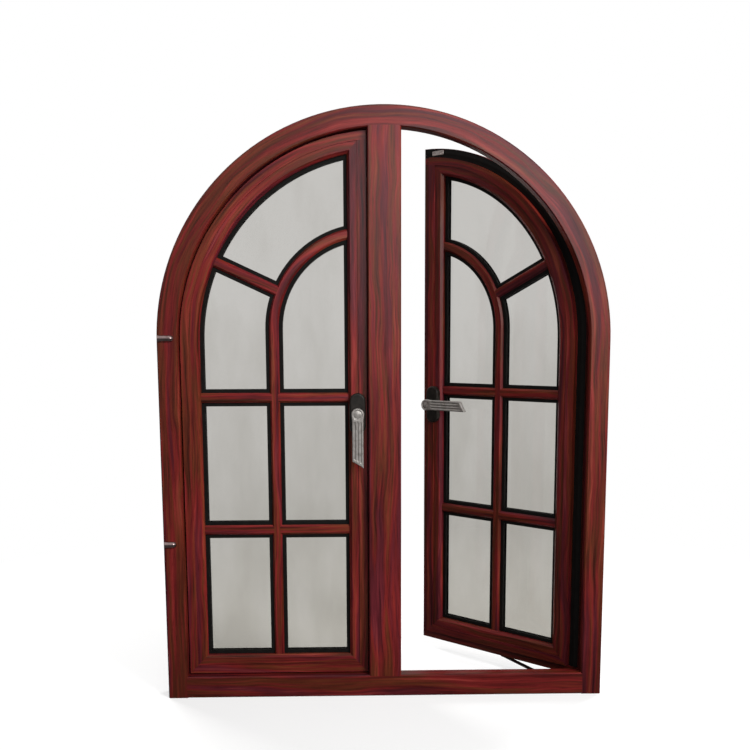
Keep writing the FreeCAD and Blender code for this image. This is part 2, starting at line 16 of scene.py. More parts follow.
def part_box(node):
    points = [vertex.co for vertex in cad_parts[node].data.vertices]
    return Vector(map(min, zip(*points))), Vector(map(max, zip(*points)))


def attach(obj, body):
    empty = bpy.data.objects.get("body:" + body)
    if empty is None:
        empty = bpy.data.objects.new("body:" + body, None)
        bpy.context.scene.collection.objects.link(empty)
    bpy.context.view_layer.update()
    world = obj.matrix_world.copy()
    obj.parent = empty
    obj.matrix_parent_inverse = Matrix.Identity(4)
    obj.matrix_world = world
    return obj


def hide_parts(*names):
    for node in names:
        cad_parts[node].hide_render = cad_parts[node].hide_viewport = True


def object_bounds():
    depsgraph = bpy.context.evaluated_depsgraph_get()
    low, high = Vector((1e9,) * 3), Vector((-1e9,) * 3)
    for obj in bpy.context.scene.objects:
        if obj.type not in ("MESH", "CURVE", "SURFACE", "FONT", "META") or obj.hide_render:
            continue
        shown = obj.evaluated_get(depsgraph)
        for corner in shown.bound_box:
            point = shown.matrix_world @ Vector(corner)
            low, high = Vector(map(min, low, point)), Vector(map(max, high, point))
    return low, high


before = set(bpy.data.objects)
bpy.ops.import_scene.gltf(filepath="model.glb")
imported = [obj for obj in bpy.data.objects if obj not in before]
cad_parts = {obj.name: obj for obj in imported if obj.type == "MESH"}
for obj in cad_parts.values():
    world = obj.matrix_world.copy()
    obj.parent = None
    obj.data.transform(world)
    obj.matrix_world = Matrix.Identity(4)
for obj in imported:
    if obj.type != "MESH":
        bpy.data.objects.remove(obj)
cad_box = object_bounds()

# An arched-top casement window of wood-grain aluminium: outer frame and mullion, a shut left sash,
# an open right sash, and their furniture. X runs along the sill, +Y points out of the room, Z is up.

MM = 0.001
ROOT = "root"
WHITE = (1.0, 1.0, 1.0)
NOISE_MIDDLE = 0.5
SHARP_EDGE = math.radians(40)
# Least half widths of round ends, as shares of their radius, so that no row shrinks to a point.
FINE_TIP = 0.01
BLUNT_TIP = math.sqrt(0.001)

Socket = bpy.types.NodeSocket
Value = float | Socket
Pair = tuple[float, float]
Triple = tuple[float, float, float]
Colour = Triple
Inputs = Mapping[str | int, Value | tuple | Vector]
Place = Callable[[float, float, float], Vector]
Mesh = bmesh.types.BMesh
Material = bpy.types.Material
Item = TypeVar("Item")

NO_INPUTS: Inputs = MappingProxyType({})

log = logging.getLogger("arched_window")


class Side(Enum):
    """Which half of the window a piece belongs to."""

    LEFT = -1
    RIGHT = 1

    @property
    def word(self) -> str:
        """The side's name as node names begin with it."""
        return self.name.lower()


class Slot(Enum):
    """The record's material slots, one handed over with each new piece."""

    LEVER = "satin_lever"
    BLACK = "black_plate"
    STEEL = "bright_steel"
    RUBBER = "black_rubber"


class Blend(Enum):
    """What a mix takes, with the places of its two inputs and its result."""

    VECTOR = (4, 5, 1)
    RGBA = (6, 7, 2)


@dataclass
class Plan:
    """The window's main lines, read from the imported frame.

    Attributes:
        open_angle: How far the right sash is swung out, in radians.
        barrel_radius: Radius of the hinge barrels.
        radial_angle: Slope of the bar that runs from the inner arch to the outer one.
    """

    open_angle: float = math.radians(41.7)
    barrel_radius: float = 5 * MM
    radial_angle: float = math.radians(25)

    @cached_property
    def spring(self) -> float:
        """Height at which the arch begins."""
        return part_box("arch_head")[0].z

    @cached_property
    def arch_radius(self) -> float:
        """Outer radius of the arched head."""
        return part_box("arch_head")[1].x

    @cached_property
    def hinge(self) -> Vector:
        """A point on the right sash's hinge axis."""
        low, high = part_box("right_frame_hinges")
        return Vector((low.x + self.barrel_radius, high.y - self.barrel_radius, 0))

    @cached_property
    def swing(self) -> Matrix:
        """The move that takes the right sash from shut to open."""
        shift = Matrix.Translation(self.hinge)
        return shift @ Matrix.Rotation(-self.open_angle, 4, "Z") @ shift.inverted()


PLAN = Plan()


def settle(side: Side, point: Vector, on_sash: bool = True) -> Vector:
    """Move a point of the window's left half to its place on either half.

    Args:
        side: The half that the point goes to.
        point: The point on the left half, whose sash is shut.
        on_sash: Whether the point belongs to a sash, and not to the outer frame.

    Returns:
        The point as it stands.
    """
    if side is Side.LEFT:
        return point
    mirrored = Vector((-point.x, point.y, point.z))
    return PLAN.swing @ mirrored if on_sash else mirrored


class Graph:
    """A node tree, with short ways to add and join its nodes."""

    def __init__(self, tree: bpy.types.NodeTree) -> None:
        """Take a tree and empty it.

        Args:
            tree: The node tree of a material or of the world.
        """
        self.tree = tree
        tree.nodes.clear()

    def join(self, source: Socket, target: Socket) -> None:
        """Link one socket to another."""
        self.tree.links.new(source, target)

    def feed(self, target: Socket, value: Value | tuple | Vector) -> None:
        """Give a socket a link or a constant.

        Args:
            target: The input socket.
            value: A socket to link, or a constant to write on the input.
        """
        if isinstance(value, Socket):
            self.join(value, target)
        elif target.type == "RGBA":
            target.default_value = (*value, 1.0)
        else:
            target.default_value = value

    def node(self, kind: str, inputs: Inputs = NO_INPUTS, **settings: str) -> bpy.types.Node:
        """Add a node.

        Args:
            kind: The node's kind.
            inputs: What its inputs get, by their names or places.
            **settings: Its other settings.

        Returns:
            The new node.
        """
        node = self.tree.nodes.new(f"ShaderNode{kind}")
        for name, setting in settings.items():
            setattr(node, name, setting)
        for key, value in inputs.items():
            self.feed(node.inputs[key], value)
        return node

    def calc(self, operation: str, *values: Value) -> Socket:
        """The result of one math operation on its operands."""
        return self.node("Math", dict(enumerate(values)), operation=operation).outputs["Value"]

    def hypot(self, first: Socket, second: Socket) -> Socket:
        """Distance of a point from the origin, from its two coordinates."""
        squares = [self.calc("MULTIPLY", part, part) for part in (first, second)]
        return self.calc("SQRT", self.calc("ADD", *squares))

    def span(self, factor: Socket, low: float, high: float, source: Pair = (0.0, 1.0)) -> Socket:
        """A value spread between two limits.

        Args:
            factor: The value.
            low: What the lower end of the source becomes.
            high: What its upper end becomes.
            source: The value's own range.

        Returns:
            The new value's socket.
        """
        limits = {"From Min": source[0], "From Max": source[1], "To Min": low, "To Max": high}
        return self.node("MapRange", {"Value": factor, **limits}).outputs["Result"]

    def split(self, vector: Socket) -> tuple[Socket, Socket, Socket]:
        """The three parts of a vector."""
        parts = self.node("SeparateXYZ", {"Vector": vector}).outputs
        return parts["X"], parts["Y"], parts["Z"]

    def pack(self, x: Value, y: Value, z: Value) -> Socket:
        """A vector from its three parts."""
        return self.node("CombineXYZ", {"X": x, "Y": y, "Z": z}).outputs["Vector"]

    def scale(self, vector: Socket, factor: Socket) -> Socket:
        """A vector or colour multiplied by one number."""
        return self.node("VectorMath", {0: vector, "Scale": factor}, operation="SCALE").outputs["Vector"]

    def stretch(self, vector: Socket, scale: Triple) -> Socket:
        """A vector multiplied by a fixed number along each axis."""
        return self.node("VectorMath", {0: vector, 1: scale}, operation="MULTIPLY").outputs["Vector"]

    def blend(self, kind: Blend, factor: Socket, first: Socket, second: Socket | Colour) -> Socket:
        """A vector or colour that turns to a second one as a factor goes from 0 to 1."""
        near, far, result = kind.value
        return self.node("Mix", {0: factor, near: first, far: second}, data_type=kind.name).outputs[result]

    def mix(self, factor: Socket, first: Socket, second: Socket) -> Socket:
        """A surface or light that turns to a second one as a factor goes from 0 to 1."""
        return self.node("MixShader", {0: factor, 1: first, 2: second}).outputs["Shader"]

    def background(self, colour: Colour, strength: Value) -> Socket:
        """Light from all round."""
        return self.node("Background", {"Color": colour, "Strength": strength}).outputs["Background"]

    def seen(self) -> Socket:
        """1 for what shows in the picture, also through glass, and 0 for what only throws light."""
        path = self.node("LightPath").outputs
        return self.calc("MAXIMUM", path["Is Camera Ray"], path["Is Transmission Ray"])


class Shader(Graph):
    """A new material with one principled surface."""

    def __init__(self, name: str) -> None:
        """Make the material.

        Args:
            name: The material's name.
        """
        self.material = bpy.data.materials.new(name)
        self.material.use_nodes = True
        super().__init__(self.material.node_tree)
        self.output = self.node("OutputMaterial").inputs["Surface"]
        self.surface = self.node("BsdfPrincipled")
        self.join(self.surface.outputs["BSDF"], self.output)

    def set(self, **inputs: Value | tuple) -> None:
        """Give the principled surface its inputs, by name with underscores for blanks."""
        for name, value in inputs.items():
            self.feed(self.surface.inputs[name.replace("_", " ")], value)

    def place(self) -> Socket:
        """The point being shaded, in the part's own frame."""
        return self.node("TexCoord").outputs["Object"]

    def noise(self, vector: Socket, scale: Triple, detail: float = 2.0, roughness: float = 0.5) -> Socket:
        """Soft noise over a scaled space.

        Args:
            vector: The space to read.
            scale: Repeats per metre along each axis.
            detail: Octaves of finer noise.
            roughness: Strength of the finer octaves.

        Returns:
            The noise value's socket.
        """
        space = {"Vector": self.stretch(vector, scale), "Scale": 1.0}
        return self.node("TexNoise", {**space, "Detail": detail, "Roughness": roughness}).outputs["Fac"]

    def ramp(self, factor: Socket, *stops: tuple[float, Colour]) -> Socket:
        """A colour picked from a list of stops.

        Args:
            factor: Where to read the list, from 0 to 1.
            *stops: Positions with their colours.

        Returns:
            The colour's socket.
        """
        node = self.node("ValToRGB", {"Fac": factor})
        elements = node.color_ramp.elements
        while len(elements) < len(stops):
            elements.new(0.5)
        for element, (position, colour) in zip(elements, stops):
            element.position = position
            element.color = (*colour, 1.0)
        return node.outputs["Color"]

    def relief(self, height: Socket, depth: float, strength: float) -> None:
        """Raise the surface's own texture.

        Args:
            height: Height from 0 to 1.
            depth: What 1 is in metres.
            strength: How much of it shows.
        """
        sizes = {"Distance": depth, "Strength": strength}
        self.set(Normal=self.node("Bump", {"Height": height, **sizes}).outputs["Normal"])


class GrainLay(ABC):
    """How the printed grain lies on one member."""

    @abstractmethod
    def vector(self, shader: Shader, point: Socket) -> Socket:
        """The space that the grain is drawn in.

        Args:
            shader: The material being made.
            point: The point being shaded, with the sash shut.

        Returns:
            A vector of distance across the grain, depth, and distance along it.
        """


@dataclass(frozen=True)
class UprightLay(GrainLay):
    """Grain that runs up a jamb, stile or upright bar.

    Attributes:
        side: The half of the window.
        arch: Radius of the arch that the grain carries on into.
        centre: That arch's centre, along the sill and over the spring line.
    """

    side: Side = Side.RIGHT
    arch: float = 0.0
    centre: Pair = (0.0, 0.0)

    def vector(self, shader: Shader, point: Socket) -> Socket:
        """The space of upright grain, with distances that run on along the arch.

        Args:
            shader: The material being made.
            point: The point being shaded, with the sash shut.

        Returns:
            A vector of distance across the grain, depth, and distance along it.
        """
        x, y, z = shader.split(point)
        hand = float(self.side.value)
        across = shader.calc("MULTIPLY", shader.calc("SUBTRACT", x, self.centre[0]), hand)
        rise = shader.calc("SUBTRACT", z, PLAN.spring + self.centre[1])
        start = math.pi * self.arch if self.side is Side.LEFT else 0.0
        return shader.pack(across, y, shader.calc("MULTIPLY_ADD", rise, hand, start))


@dataclass(frozen=True)
class LevelLay(GrainLay):
    """Grain that runs along a sill, rail or crossbar."""

    def vector(self, shader: Shader, point: Socket) -> Socket:
        """The space of level grain, as distance across it, depth, and distance along it."""
        x, y, z = shader.split(point)
        return shader.pack(z, y, x)


@dataclass(frozen=True)
class ArchLay(GrainLay):
    """Grain that follows an arch.

    Attributes:
        radius: The radius along which distances are true.
        centre: Its centre, along the sill and over the spring line.
    """

    radius: float
    centre: Pair = (0.0, 0.0)

    def vector(self, shader: Shader, point: Socket) -> Socket:
        """The space of grain bent round the arch's centre.

        Args:
            shader: The material being made.
            point: The point being shaded, with the sash shut.

        Returns:
            A vector of distance across the grain, depth, and distance along it.
        """
        x, y, z = shader.split(point)
        out = shader.calc("SUBTRACT", x, self.centre[0])
        rise = shader.calc("SUBTRACT", z, PLAN.spring + self.centre[1])
        along = shader.calc("MULTIPLY", shader.calc("ARCTAN2", rise, out), self.radius)
        return shader.pack(shader.hypot(out, rise), y, along)


@dataclass(frozen=True)
class SlopeLay(GrainLay):
    """Grain that runs along a radial bar.

    Attributes:
        side: The half of the window.
    """

    side: Side

    def vector(self, shader: Shader, point: Socket) -> Socket:
        """The space of grain at the radial bar's slope.

        Args:
            shader: The material being made.
            point: The point being shaded, with the sash shut.

        Returns:
            A vector of distance across the grain, depth, and distance along it.
        """
        x, y, z = shader.split(point)
        out = shader.calc("MULTIPLY", x, float(self.side.value))
        rise = shader.calc("SUBTRACT", z, PLAN.spring)
        lean, lift = math.cos(PLAN.radial_angle), math.sin(PLAN.radial_angle)
        along = shader.calc("MULTIPLY_ADD", out, lean, shader.calc("MULTIPLY", rise, lift))
        across = shader.calc("MULTIPLY_ADD", rise, lean, shader.calc("MULTIPLY", out, -lift))
        return shader.pack(across, y, along)


@dataclass(frozen=True)
class BeadLay(GrainLay):
    """Grain round a glazing bead, mitred where its runs meet.

    Attributes:
        side: The half of the window.
        near: Distance of the bead's inner edge from the middle of the window.
        far: Distance of its outer edge from the middle, which is also its arch's radius.
        low: Height of its lower edge.
    """

    side: Side
    near: float
    far: float
    low: float

    def vector(self, shader: Shader, point: Socket) -> Socket:
        """The space of the run that a point of the bead belongs to.

        Args:
            shader: The material being made.
            point: The point being shaded, with the sash shut.

        Returns:
            A vector of distance across the grain, depth, and distance along it.
        """
        x, _, z = shader.split(point)
        out = shader.calc("MULTIPLY", x, float(self.side.value))
        rise = shader.calc("MAXIMUM", shader.calc("SUBTRACT", z, PLAN.spring), 0.0)
        from_far = shader.calc("SUBTRACT", self.far, shader.hypot(out, rise))
        from_near = shader.calc("SUBTRACT", out, self.near)
        from_low = shader.calc("SUBTRACT", z, self.low)
        upright = UprightLay(self.side, self.far).vector(shader, point)
        arched = ArchLay(self.far).vector(shader, point)
        on_arch = shader.calc("LESS_THAN", from_far, from_near)
        above = shader.calc("GREATER_THAN", z, PLAN.spring)
        bent = shader.calc("MULTIPLY", on_arch, above)
        curved = shader.blend(Blend.VECTOR, bent, upright, arched)
        on_rail = shader.calc("LESS_THAN", from_low, shader.calc("MINIMUM", from_far, from_near))
        return shader.blend(Blend.VECTOR, on_rail, curved, LevelLay().vector(shader, point))


@dataclass(frozen=True)
class Streaks:
    """Noise drawn out along the grain.

    Attributes:
        across: Repeats per metre across the grain.
        along: Repeats per metre along it.
        detail: Octaves of finer noise.
        roughness: Strength of the finer octaves.
    """

    across: float
    along: float
    detail: float = 2.0
    roughness: float = 0.5

    def noise(self, shader: Shader, grain: Socket) -> Socket:
        """The streaks' values in the grain's space."""
        scale = (self.across, self.across, self.along)
        return shader.noise(grain, scale, self.detail, self.roughness)


@dataclass(frozen=True)
class WoodGrain:
    """A red-brown wood print on aluminium: long streaks, fine lines and short dark pores.

    Attributes:
        plum: Purplish ground.
        red: Red ground.
        brown: Brown ground.
        glow: The palest streaks.
        contrast: How dark and how light the streaks make the ground.
        foot_shade: Painted shade at the foot of the window: the share of the colour left at the bottom,
            and the height at which it is gone.
        hues: Where plum, red, brown and red again follow one another.
        tones: Streak values that come out darkest and lightest.
        glowing: Streak values between which the palest colour comes in.
        glow_share: How much of it comes in.
        line_share: Share of the fine lines in the streaks, the rest being the wide ones.
        open_pore: Pore values that are fully open and just shut.
        pore_light: Share of the light that an open pore leaves.
        pore_depth: Depth of the pores as a share of the lines'.
        drift: How far the streaks wander from their course.
        gloss: Roughness of dark and of light lines.
        specular: Strength of the mirror reflection.
        depth: Depth of the printed texture.
        depth_shown: How much of that depth shows.
        wander: Course of the wandering.
        broad: The wide streaks.
        line: The fine lines.
        hue: The changes of ground.
        pore: The pores.
    """

    plum: Colour = (0.082, 0.0085, 0.0130)
    red: Colour = (0.142, 0.0105, 0.0100)
    brown: Colour = (0.100, 0.0200, 0.0072)
    glow: Colour = (0.230, 0.0400, 0.0300)
    contrast: Pair = (0.28, 1.64)
    foot_shade: Pair = (0.62, 0.16)
    hues: tuple[float, float, float, float] = (0.38, 0.46, 0.54, 0.62)
    tones: Pair = (0.35, 0.65)
    glowing: Pair = (0.57, 0.68)
    glow_share: float = 0.55
    line_share: float = 0.46
    open_pore: Pair = (0.34, 0.40)
    pore_light: float = 0.55
    pore_depth: float = 0.5
    drift: float = 30 * MM
    gloss: Pair = (0.30, 0.46)
    specular: float = 0.30
    depth: float = 0.12 * MM
    depth_shown: float = 0.5
    wander: Streaks = Streaks(13.0, 4.6)
    broad: Streaks = Streaks(74.0, 2.8, 3.0, 0.55)
    line: Streaks = Streaks(230.0, 6.5, 4.0, 0.6)
    hue: Streaks = Streaks(46.0, 1.9)
    pore: Streaks = Streaks(900.0, 26.0)

    def material(self, name: str, lay: GrainLay, seed: float, swung: bool) -> Material:
        """The finish of one member.

        Args:
            name: The material's name.
            lay: How the grain lies on the member.
            seed: Where in the print the member was cut, so that no two match.
            swung: Whether the member belongs to the open sash.

        Returns:
            The new material.
        """
        shader = Shader(name)
        point = self.shut_place(shader) if swung else shader.place()
        across, depth, along = shader.split(lay.vector(shader, point))
        cut = shader.calc("ADD", along, seed)
        wander = self.wander.noise(shader, shader.pack(across, depth, cut))
        aside = shader.calc("SUBTRACT", wander, NOISE_MIDDLE)
        grain = shader.pack(shader.calc("MULTIPLY_ADD", aside, self.drift, across), depth, cut)
        broad, line, hue, pore = (
            streaks.noise(shader, grain) for streaks in (self.broad, self.line, self.hue, self.pore))
        wide = shader.calc("MULTIPLY", broad, 1 - self.line_share)
        tone = shader.calc("MULTIPLY_ADD", line, self.line_share, wide)
        ground = shader.ramp(hue, *zip(self.hues, (self.plum, self.red, self.brown, self.red)))
        shade = shader.span(pore, self.pore_light, 1.0, self.open_pore)
        # Painted shade: the colour darkens towards the foot of the window.
        clean = shader.span(shader.split(point)[2], self.foot_shade[0], 1.0, (0.0, self.foot_shade[1]))
        light = shader.calc("MULTIPLY", shader.span(tone, *self.contrast, self.tones), shade)
        streaked = shader.scale(ground, shader.calc("MULTIPLY", light, clean))
        pale = shader.span(tone, 0.0, self.glow_share, self.glowing)
        shader.set(
            Base_Color=shader.blend(Blend.RGBA, pale, streaked, self.glow),
            Roughness=shader.span(line, *self.gloss),
            Specular_IOR_Level=self.specular,
        )
        height = shader.calc("MULTIPLY_ADD", pore, self.pore_depth, line)
        shader.relief(height, self.depth, self.depth_shown)
        return shader.material

    @staticmethod
    def shut_place(shader: Shader) -> Socket:
        """The point being shaded, turned back to where it is with the sash shut."""
        turn = {"Vector": shader.place(), "Center": PLAN.hinge, "Angle": PLAN.open_angle}
        return shader.node("VectorRotate", turn, rotation_type="Z_AXIS").outputs["Vector"]


@dataclass(frozen=True)
class Glass:
    """Light grey glazing with the faint unevenness of a large sheet, darker towards its foot by painted
    shade.

    Attributes:
        unshaded: The colour that white light has behind the upper panes.
        low_shaded: Its colour behind the lowest panes, where painted shade darkens it.
        rise: Heights between which the painted shade fades out.
        film: Repeats per metre of the dust's patches along each axis, which roughen the glass and shift
            the painted shade.
        film_detail: Octaves of finer patches.
        patchy: How far the patches shift the painted shade up or down.
        polish: Roughness of clear glass and of glass under dust.
        wave: Repeats per metre of the sheet's waves along each axis.
        wave_detail: Octaves of finer waves.
        wave_depth: Depth of those waves.
        wave_shown: How much of that depth shows.
        specular: Strength of the mirror reflection.
        bending: Index of refraction.
    """

    clean: Colour = (0.560, 0.548, 0.525)
    low_shaded: Colour = (0.375, 0.362, 0.326)
    rise: Pair = (0.10, 0.95)
    film: Triple = (14.0, 14.0, 5.0)
    film_detail: float = 3.0
    patchy: float = 0.45
    polish: Pair = (0.0, 0.02)
    wave: Triple = (3.0, 3.0, 2.0)
    wave_detail: float = 1.0
    wave_depth: float = 0.4 * MM
    wave_shown: float = 0.15
    specular: float = 0.2
    bending: float = 1.46

    def material(self, name: str) -> Material:
        """The finish of the panes.

        Args:
            name: The material's name.

        Returns:
            The new material.
        """
        shader = Shader(name)
        point = shader.place()
        film = shader.noise(point, self.film, self.film_detail)
        # Painted shade: the panes' colour darkens towards their foot, its edge broken up by the patches.
        height = shader.span(shader.split(point)[2], 0.0, 1.0, self.rise)
        shade_fade = shader.calc("ADD", height, shader.span(film, -self.patchy, self.patchy))
        shader.set(
            Base_Color=shader.ramp(shade_fade, (0.0, self.low_shaded), (1.0, self.clean)),
            Roughness=shader.span(film, *self.polish),
            Transmission_Weight=1.0,
            Specular_IOR_Level=self.specular,
            IOR=self.bending,
        )
        waves = shader.noise(point, self.wave, self.wave_detail)
        shader.relief(waves, self.wave_depth, self.wave_shown)
        return shader.material


@dataclass(frozen=True)
class Skin:
    """A black skin with a fine texture, greyed in patches by dust or handling.

    Attributes:
        fresh: The skin where it is not greyed.
        greyed: Where it is greyed.
        onset: Patch values at which greying begins and is complete.
        patches: Repeats per metre of the patches.
        patch_roughness: Strength of the patches' finer octaves.
        gloss: Roughness of fresh and of greyed skin.
        specular: Strength of the mirror reflection.
        grit: Repeats per metre of the fine texture.
        depth: Depth of that texture.
        depth_shown: How much of that depth shows.
        patch_detail: Octaves of finer patches.
    """

    fresh: Colour
    greyed: Colour
    onset: Pair
    patches: float
    patch_roughness: float
    gloss: Pair
    specular: float
    grit: float
    depth: float
    depth_shown: float
    patch_detail: float = 4.0

    def material(self, name: str) -> Material:
        """The finish of rubber, handle plates and hinges.

        Args:
            name: The material's name.

        Returns:
            The new material.
        """
        shader = Shader(name)
        point = shader.place()
        grey = shader.noise(point, (self.patches,) * 3, self.patch_detail, self.patch_roughness)
        shader.set(
            Base_Color=shader.ramp(grey, *zip(self.onset, (self.fresh, self.greyed))),
            Roughness=shader.span(grey, *self.gloss),
            Specular_IOR_Level=self.specular,
        )
        shader.relief(shader.noise(point, (self.grit,) * 3), self.depth, self.depth_shown)
        return shader.material


@dataclass(frozen=True)
class Metal:
    """Bare or plated metal with fine brush lines and a little dirt.

    Attributes:
        bright: The metal where it is not dirty.
        dull: Where it is dirty.
        polish: Roughness of bright and of dirty metal.
        brush: Repeats per metre of the brush lines along each axis.
        bare: Share of bare metal in the surface, the rest being its satin film.
        dirt: Repeats per metre of the dirt.
        dirt_detail: Octaves of finer dirt.
        line_detail: Octaves of finer lines.
        roughness: Strength of the finer octaves.
        line_share: Share of the brush lines in the wear, the rest being dirt.
        onset: Wear values that come out dull and bright.
        depth: Depth of the brush lines.
        depth_shown: How much of that depth shows.
    """

    bright: Colour
    dull: Colour
    polish: Pair
    brush: Triple
    bare: float
    dirt: float = 120.0
    dirt_detail: float = 5.0
    line_detail: float = 3.0
    roughness: float = 0.6
    line_share: float = 0.45
    onset: Pair = (0.32, 0.55)
    depth: float = 0.03 * MM
    depth_shown: float = 0.5

    def material(self, name: str) -> Material:
        """The finish of metal furniture.

        Args:
            name: The material's name.

        Returns:
            The new material.
        """
        shader = Shader(name)
        point = shader.place()
        dirt = shader.noise(point, (self.dirt,) * 3, self.dirt_detail, self.roughness)
        lines = shader.noise(point, self.brush, self.line_detail, self.roughness)
        dirty = shader.calc("MULTIPLY", dirt, 1 - self.line_share)
        worn = shader.calc("MULTIPLY_ADD", lines, self.line_share, dirty)
        shader.set(
            Base_Color=shader.ramp(worn, *zip(self.onset, (self.dull, self.bright))),
            Roughness=shader.span(worn, *reversed(self.polish)),
            Metallic=self.bare,
        )
        shader.relief(lines, self.depth, self.depth_shown)
        return shader.material


WOOD = WoodGrain()
# Painted shade: the same print made darker for the jambs and arched head, as shade the lamps don't give
# them.
SHADED_FRAME_WOOD = replace(WOOD, contrast=(0.25, 1.36))
GLASS = Glass()
RUBBER = Skin(
    fresh=(0.0022, 0.0020, 0.0018), greyed=(0.0065, 0.0058, 0.0050), onset=(0.35, 0.75),
    patches=60.0, patch_roughness=0.65, gloss=(0.55, 0.8), specular=0.18,
    grit=1800.0, depth=0.05 * MM, depth_shown=0.5)
BLACK = Skin(
    fresh=(0.0055, 0.0044, 0.0034), greyed=(0.019, 0.015, 0.012), onset=(0.4, 0.75),
    patches=90.0, patch_roughness=0.6, gloss=(0.3, 0.5), specular=0.32,
    grit=1500.0, depth=0.04 * MM, depth_shown=0.6)
SATIN = Metal(
    bright=(0.35, 0.33, 0.31), dull=(0.14, 0.13, 0.115), polish=(0.26, 0.42),
    brush=(900.0, 900.0, 40.0), bare=0.45)
STEEL = Metal(
    bright=(0.54, 0.49, 0.465), dull=(0.30, 0.26, 0.24), polish=(0.16, 0.34),
    brush=(60.0, 900.0, 900.0), bare=0.8)
# Painted reflection: the reddish tint of this polished steel stands for the red-brown wood that the pegs
# mirror.
PAINTED_REFLECTION_STEEL = Metal(
    bright=(0.50, 0.38, 0.37), dull=(0.26, 0.18, 0.17), polish=(0.12, 0.26),
    brush=(900.0, 60.0, 60.0), bare=1.0)
DARK_STEEL = Metal(
    bright=(0.11, 0.105, 0.10), dull=(0.045, 0.042, 0.04), polish=(0.35, 0.55),
    brush=(500.0, 500.0, 500.0), bare=1.0)


def dress(node: str, material: Material) -> None:
    """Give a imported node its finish.

    Args:
        node: The node's name.
        material: The finish for all its faces.
    """
    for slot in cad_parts[node].material_slots:
        slot.material = material
    log.info("dressed %s with %s", node, material.name)


def add_mesh(name: str, mesh: Mesh, material: Material) -> bpy.types.Object:
    """Put a built mesh in the scene.

    Args:
        name: The object's name.
        mesh: The mesh, which is freed.
        material: Its finish.

    Returns:
        The new object.
    """
    data = bpy.data.meshes.new(name)
    mesh.to_mesh(data)
    mesh.free()
    data.materials.append(material)
    piece = bpy.data.objects.new(name, data)
    bpy.context.scene.collection.objects.link(piece)
    return piece


def fit(name: str, mesh: Mesh, material: Material, slot: Slot, *nodes: str) -> None:
    """Fix a built mesh to the window as a smooth piece, and hide the nodes that it stands for.

    Args:
        name: The piece's name.
        mesh: The mesh, which is freed.
        material: Its finish.
        slot: The record's slot for that finish, which is not used.
        *nodes: The nodes that it replaces.
    """
    bmesh.ops.recalc_face_normals(mesh, faces=mesh.faces)
    piece = add_mesh(name, mesh, material)
    for polygon in piece.data.polygons:
        polygon.use_smooth = True
    piece.data.set_sharp_from_angle(angle=SHARP_EDGE)
    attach(piece, ROOT)
    if nodes:
        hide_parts(*nodes)
    log.info("built %s", name)


def spread(count: int) -> list[float]:
    """Numbers from -1 to 1, closest together at the two ends."""
    return [-math.cos(math.pi * step / count) for step in range(count + 1)]


@dataclass
class Relief:
    """A closed mesh raised over a flat back, in rows along and columns across.

    Attributes:
        reach: Where the rows begin and end.
        half_width: Half the width at a distance along.
        height: The front's height over a point along and across.
        lean: How far a row's far edge runs ahead of its near edge, at a distance along.
        rows: Number of rows.
        columns: Number of columns.
    """

    reach: Pair
    half_width: Callable[[float], float]
    height: Callable[[float, float], float]
    lean: Callable[[float], float] = lambda along: 0.0
    rows: int = 96
    columns: int = 40

    def stations(self) -> list[float]:
        """Distances along, closest together at the two ends."""
        start, end = self.reach
        return [start + (end - start) * (1 + share) / 2 for share in spread(self.rows)]

    def row(self, along: float) -> list[Triple]:
        """The points of one row, as along, across and height.

        Args:
            along: Where the row lies.

        Returns:
            The row's points from its near edge to its far one.
        """
        half, lean = self.half_width(along), self.lean(along)
        return [(along + lean * share, half * share, self.height(along, half * share))
                for share in spread(self.columns)]

    def add(self, mesh: Mesh, place: Place) -> None:
        """Add the relief to a mesh.

        Args:
            mesh: The mesh to add to.
            place: Turns along, across and height into a point of the part.
        """
        spots = [self.row(along) for along in self.stations()]
        front = [[mesh.verts.new(place(*spot)) for spot in row] for row in spots]
        for first, second in zip(front, front[1:]):
            for column in range(self.columns):
                mesh.faces.new((first[column], first[column + 1], second[column + 1], second[column]))
        edge = self.rim(front)
        ground = [mesh.verts.new(place(along, across, 0.0)) for along, across, _ in self.rim(spots)]
        for index in range(len(edge)):
            after = (index + 1) % len(edge)
            mesh.faces.new((edge[after], edge[index], ground[index], ground[after]))
        mesh.faces.new(ground)

    @staticmethod
    def rim(grid: list[list[Item]]) -> list[Item]:
        """The outline of a grid of points.

        Args:
            grid: The grid's rows.

        Returns:
            The points of its four edges, once round.
        """
        right = [row[-1] for row in grid]
        left = [row[0] for row in reversed(grid)]
        return grid[0][:-1] + right[:-1] + grid[-1][:0:-1] + left[:-1]


def arc(radius: float, past: float, tip: float = 0.0) -> float:
    """Half the width of a round end.

    Args:
        radius: The end's radius.
        past: Distance past the middle of its circle.
        tip: The least half width, as a share of the radius.

    Returns:
        The half width there.
    """
    return math.sqrt(max((tip * radius) ** 2, radius ** 2 - past ** 2))


def rounded(inset: float, thickness: float, radius: float) -> float:
    """Height of a plate near its edge, where the edge is rounded.

    Args:
        inset: Distance in from the outline.
        thickness: The plate's full thickness.
        radius: Radius of the rounded edge.

    Returns:
        The height over the plate's back.
    """
    return thickness - radius + arc(radius, max(0.0, radius - inset))


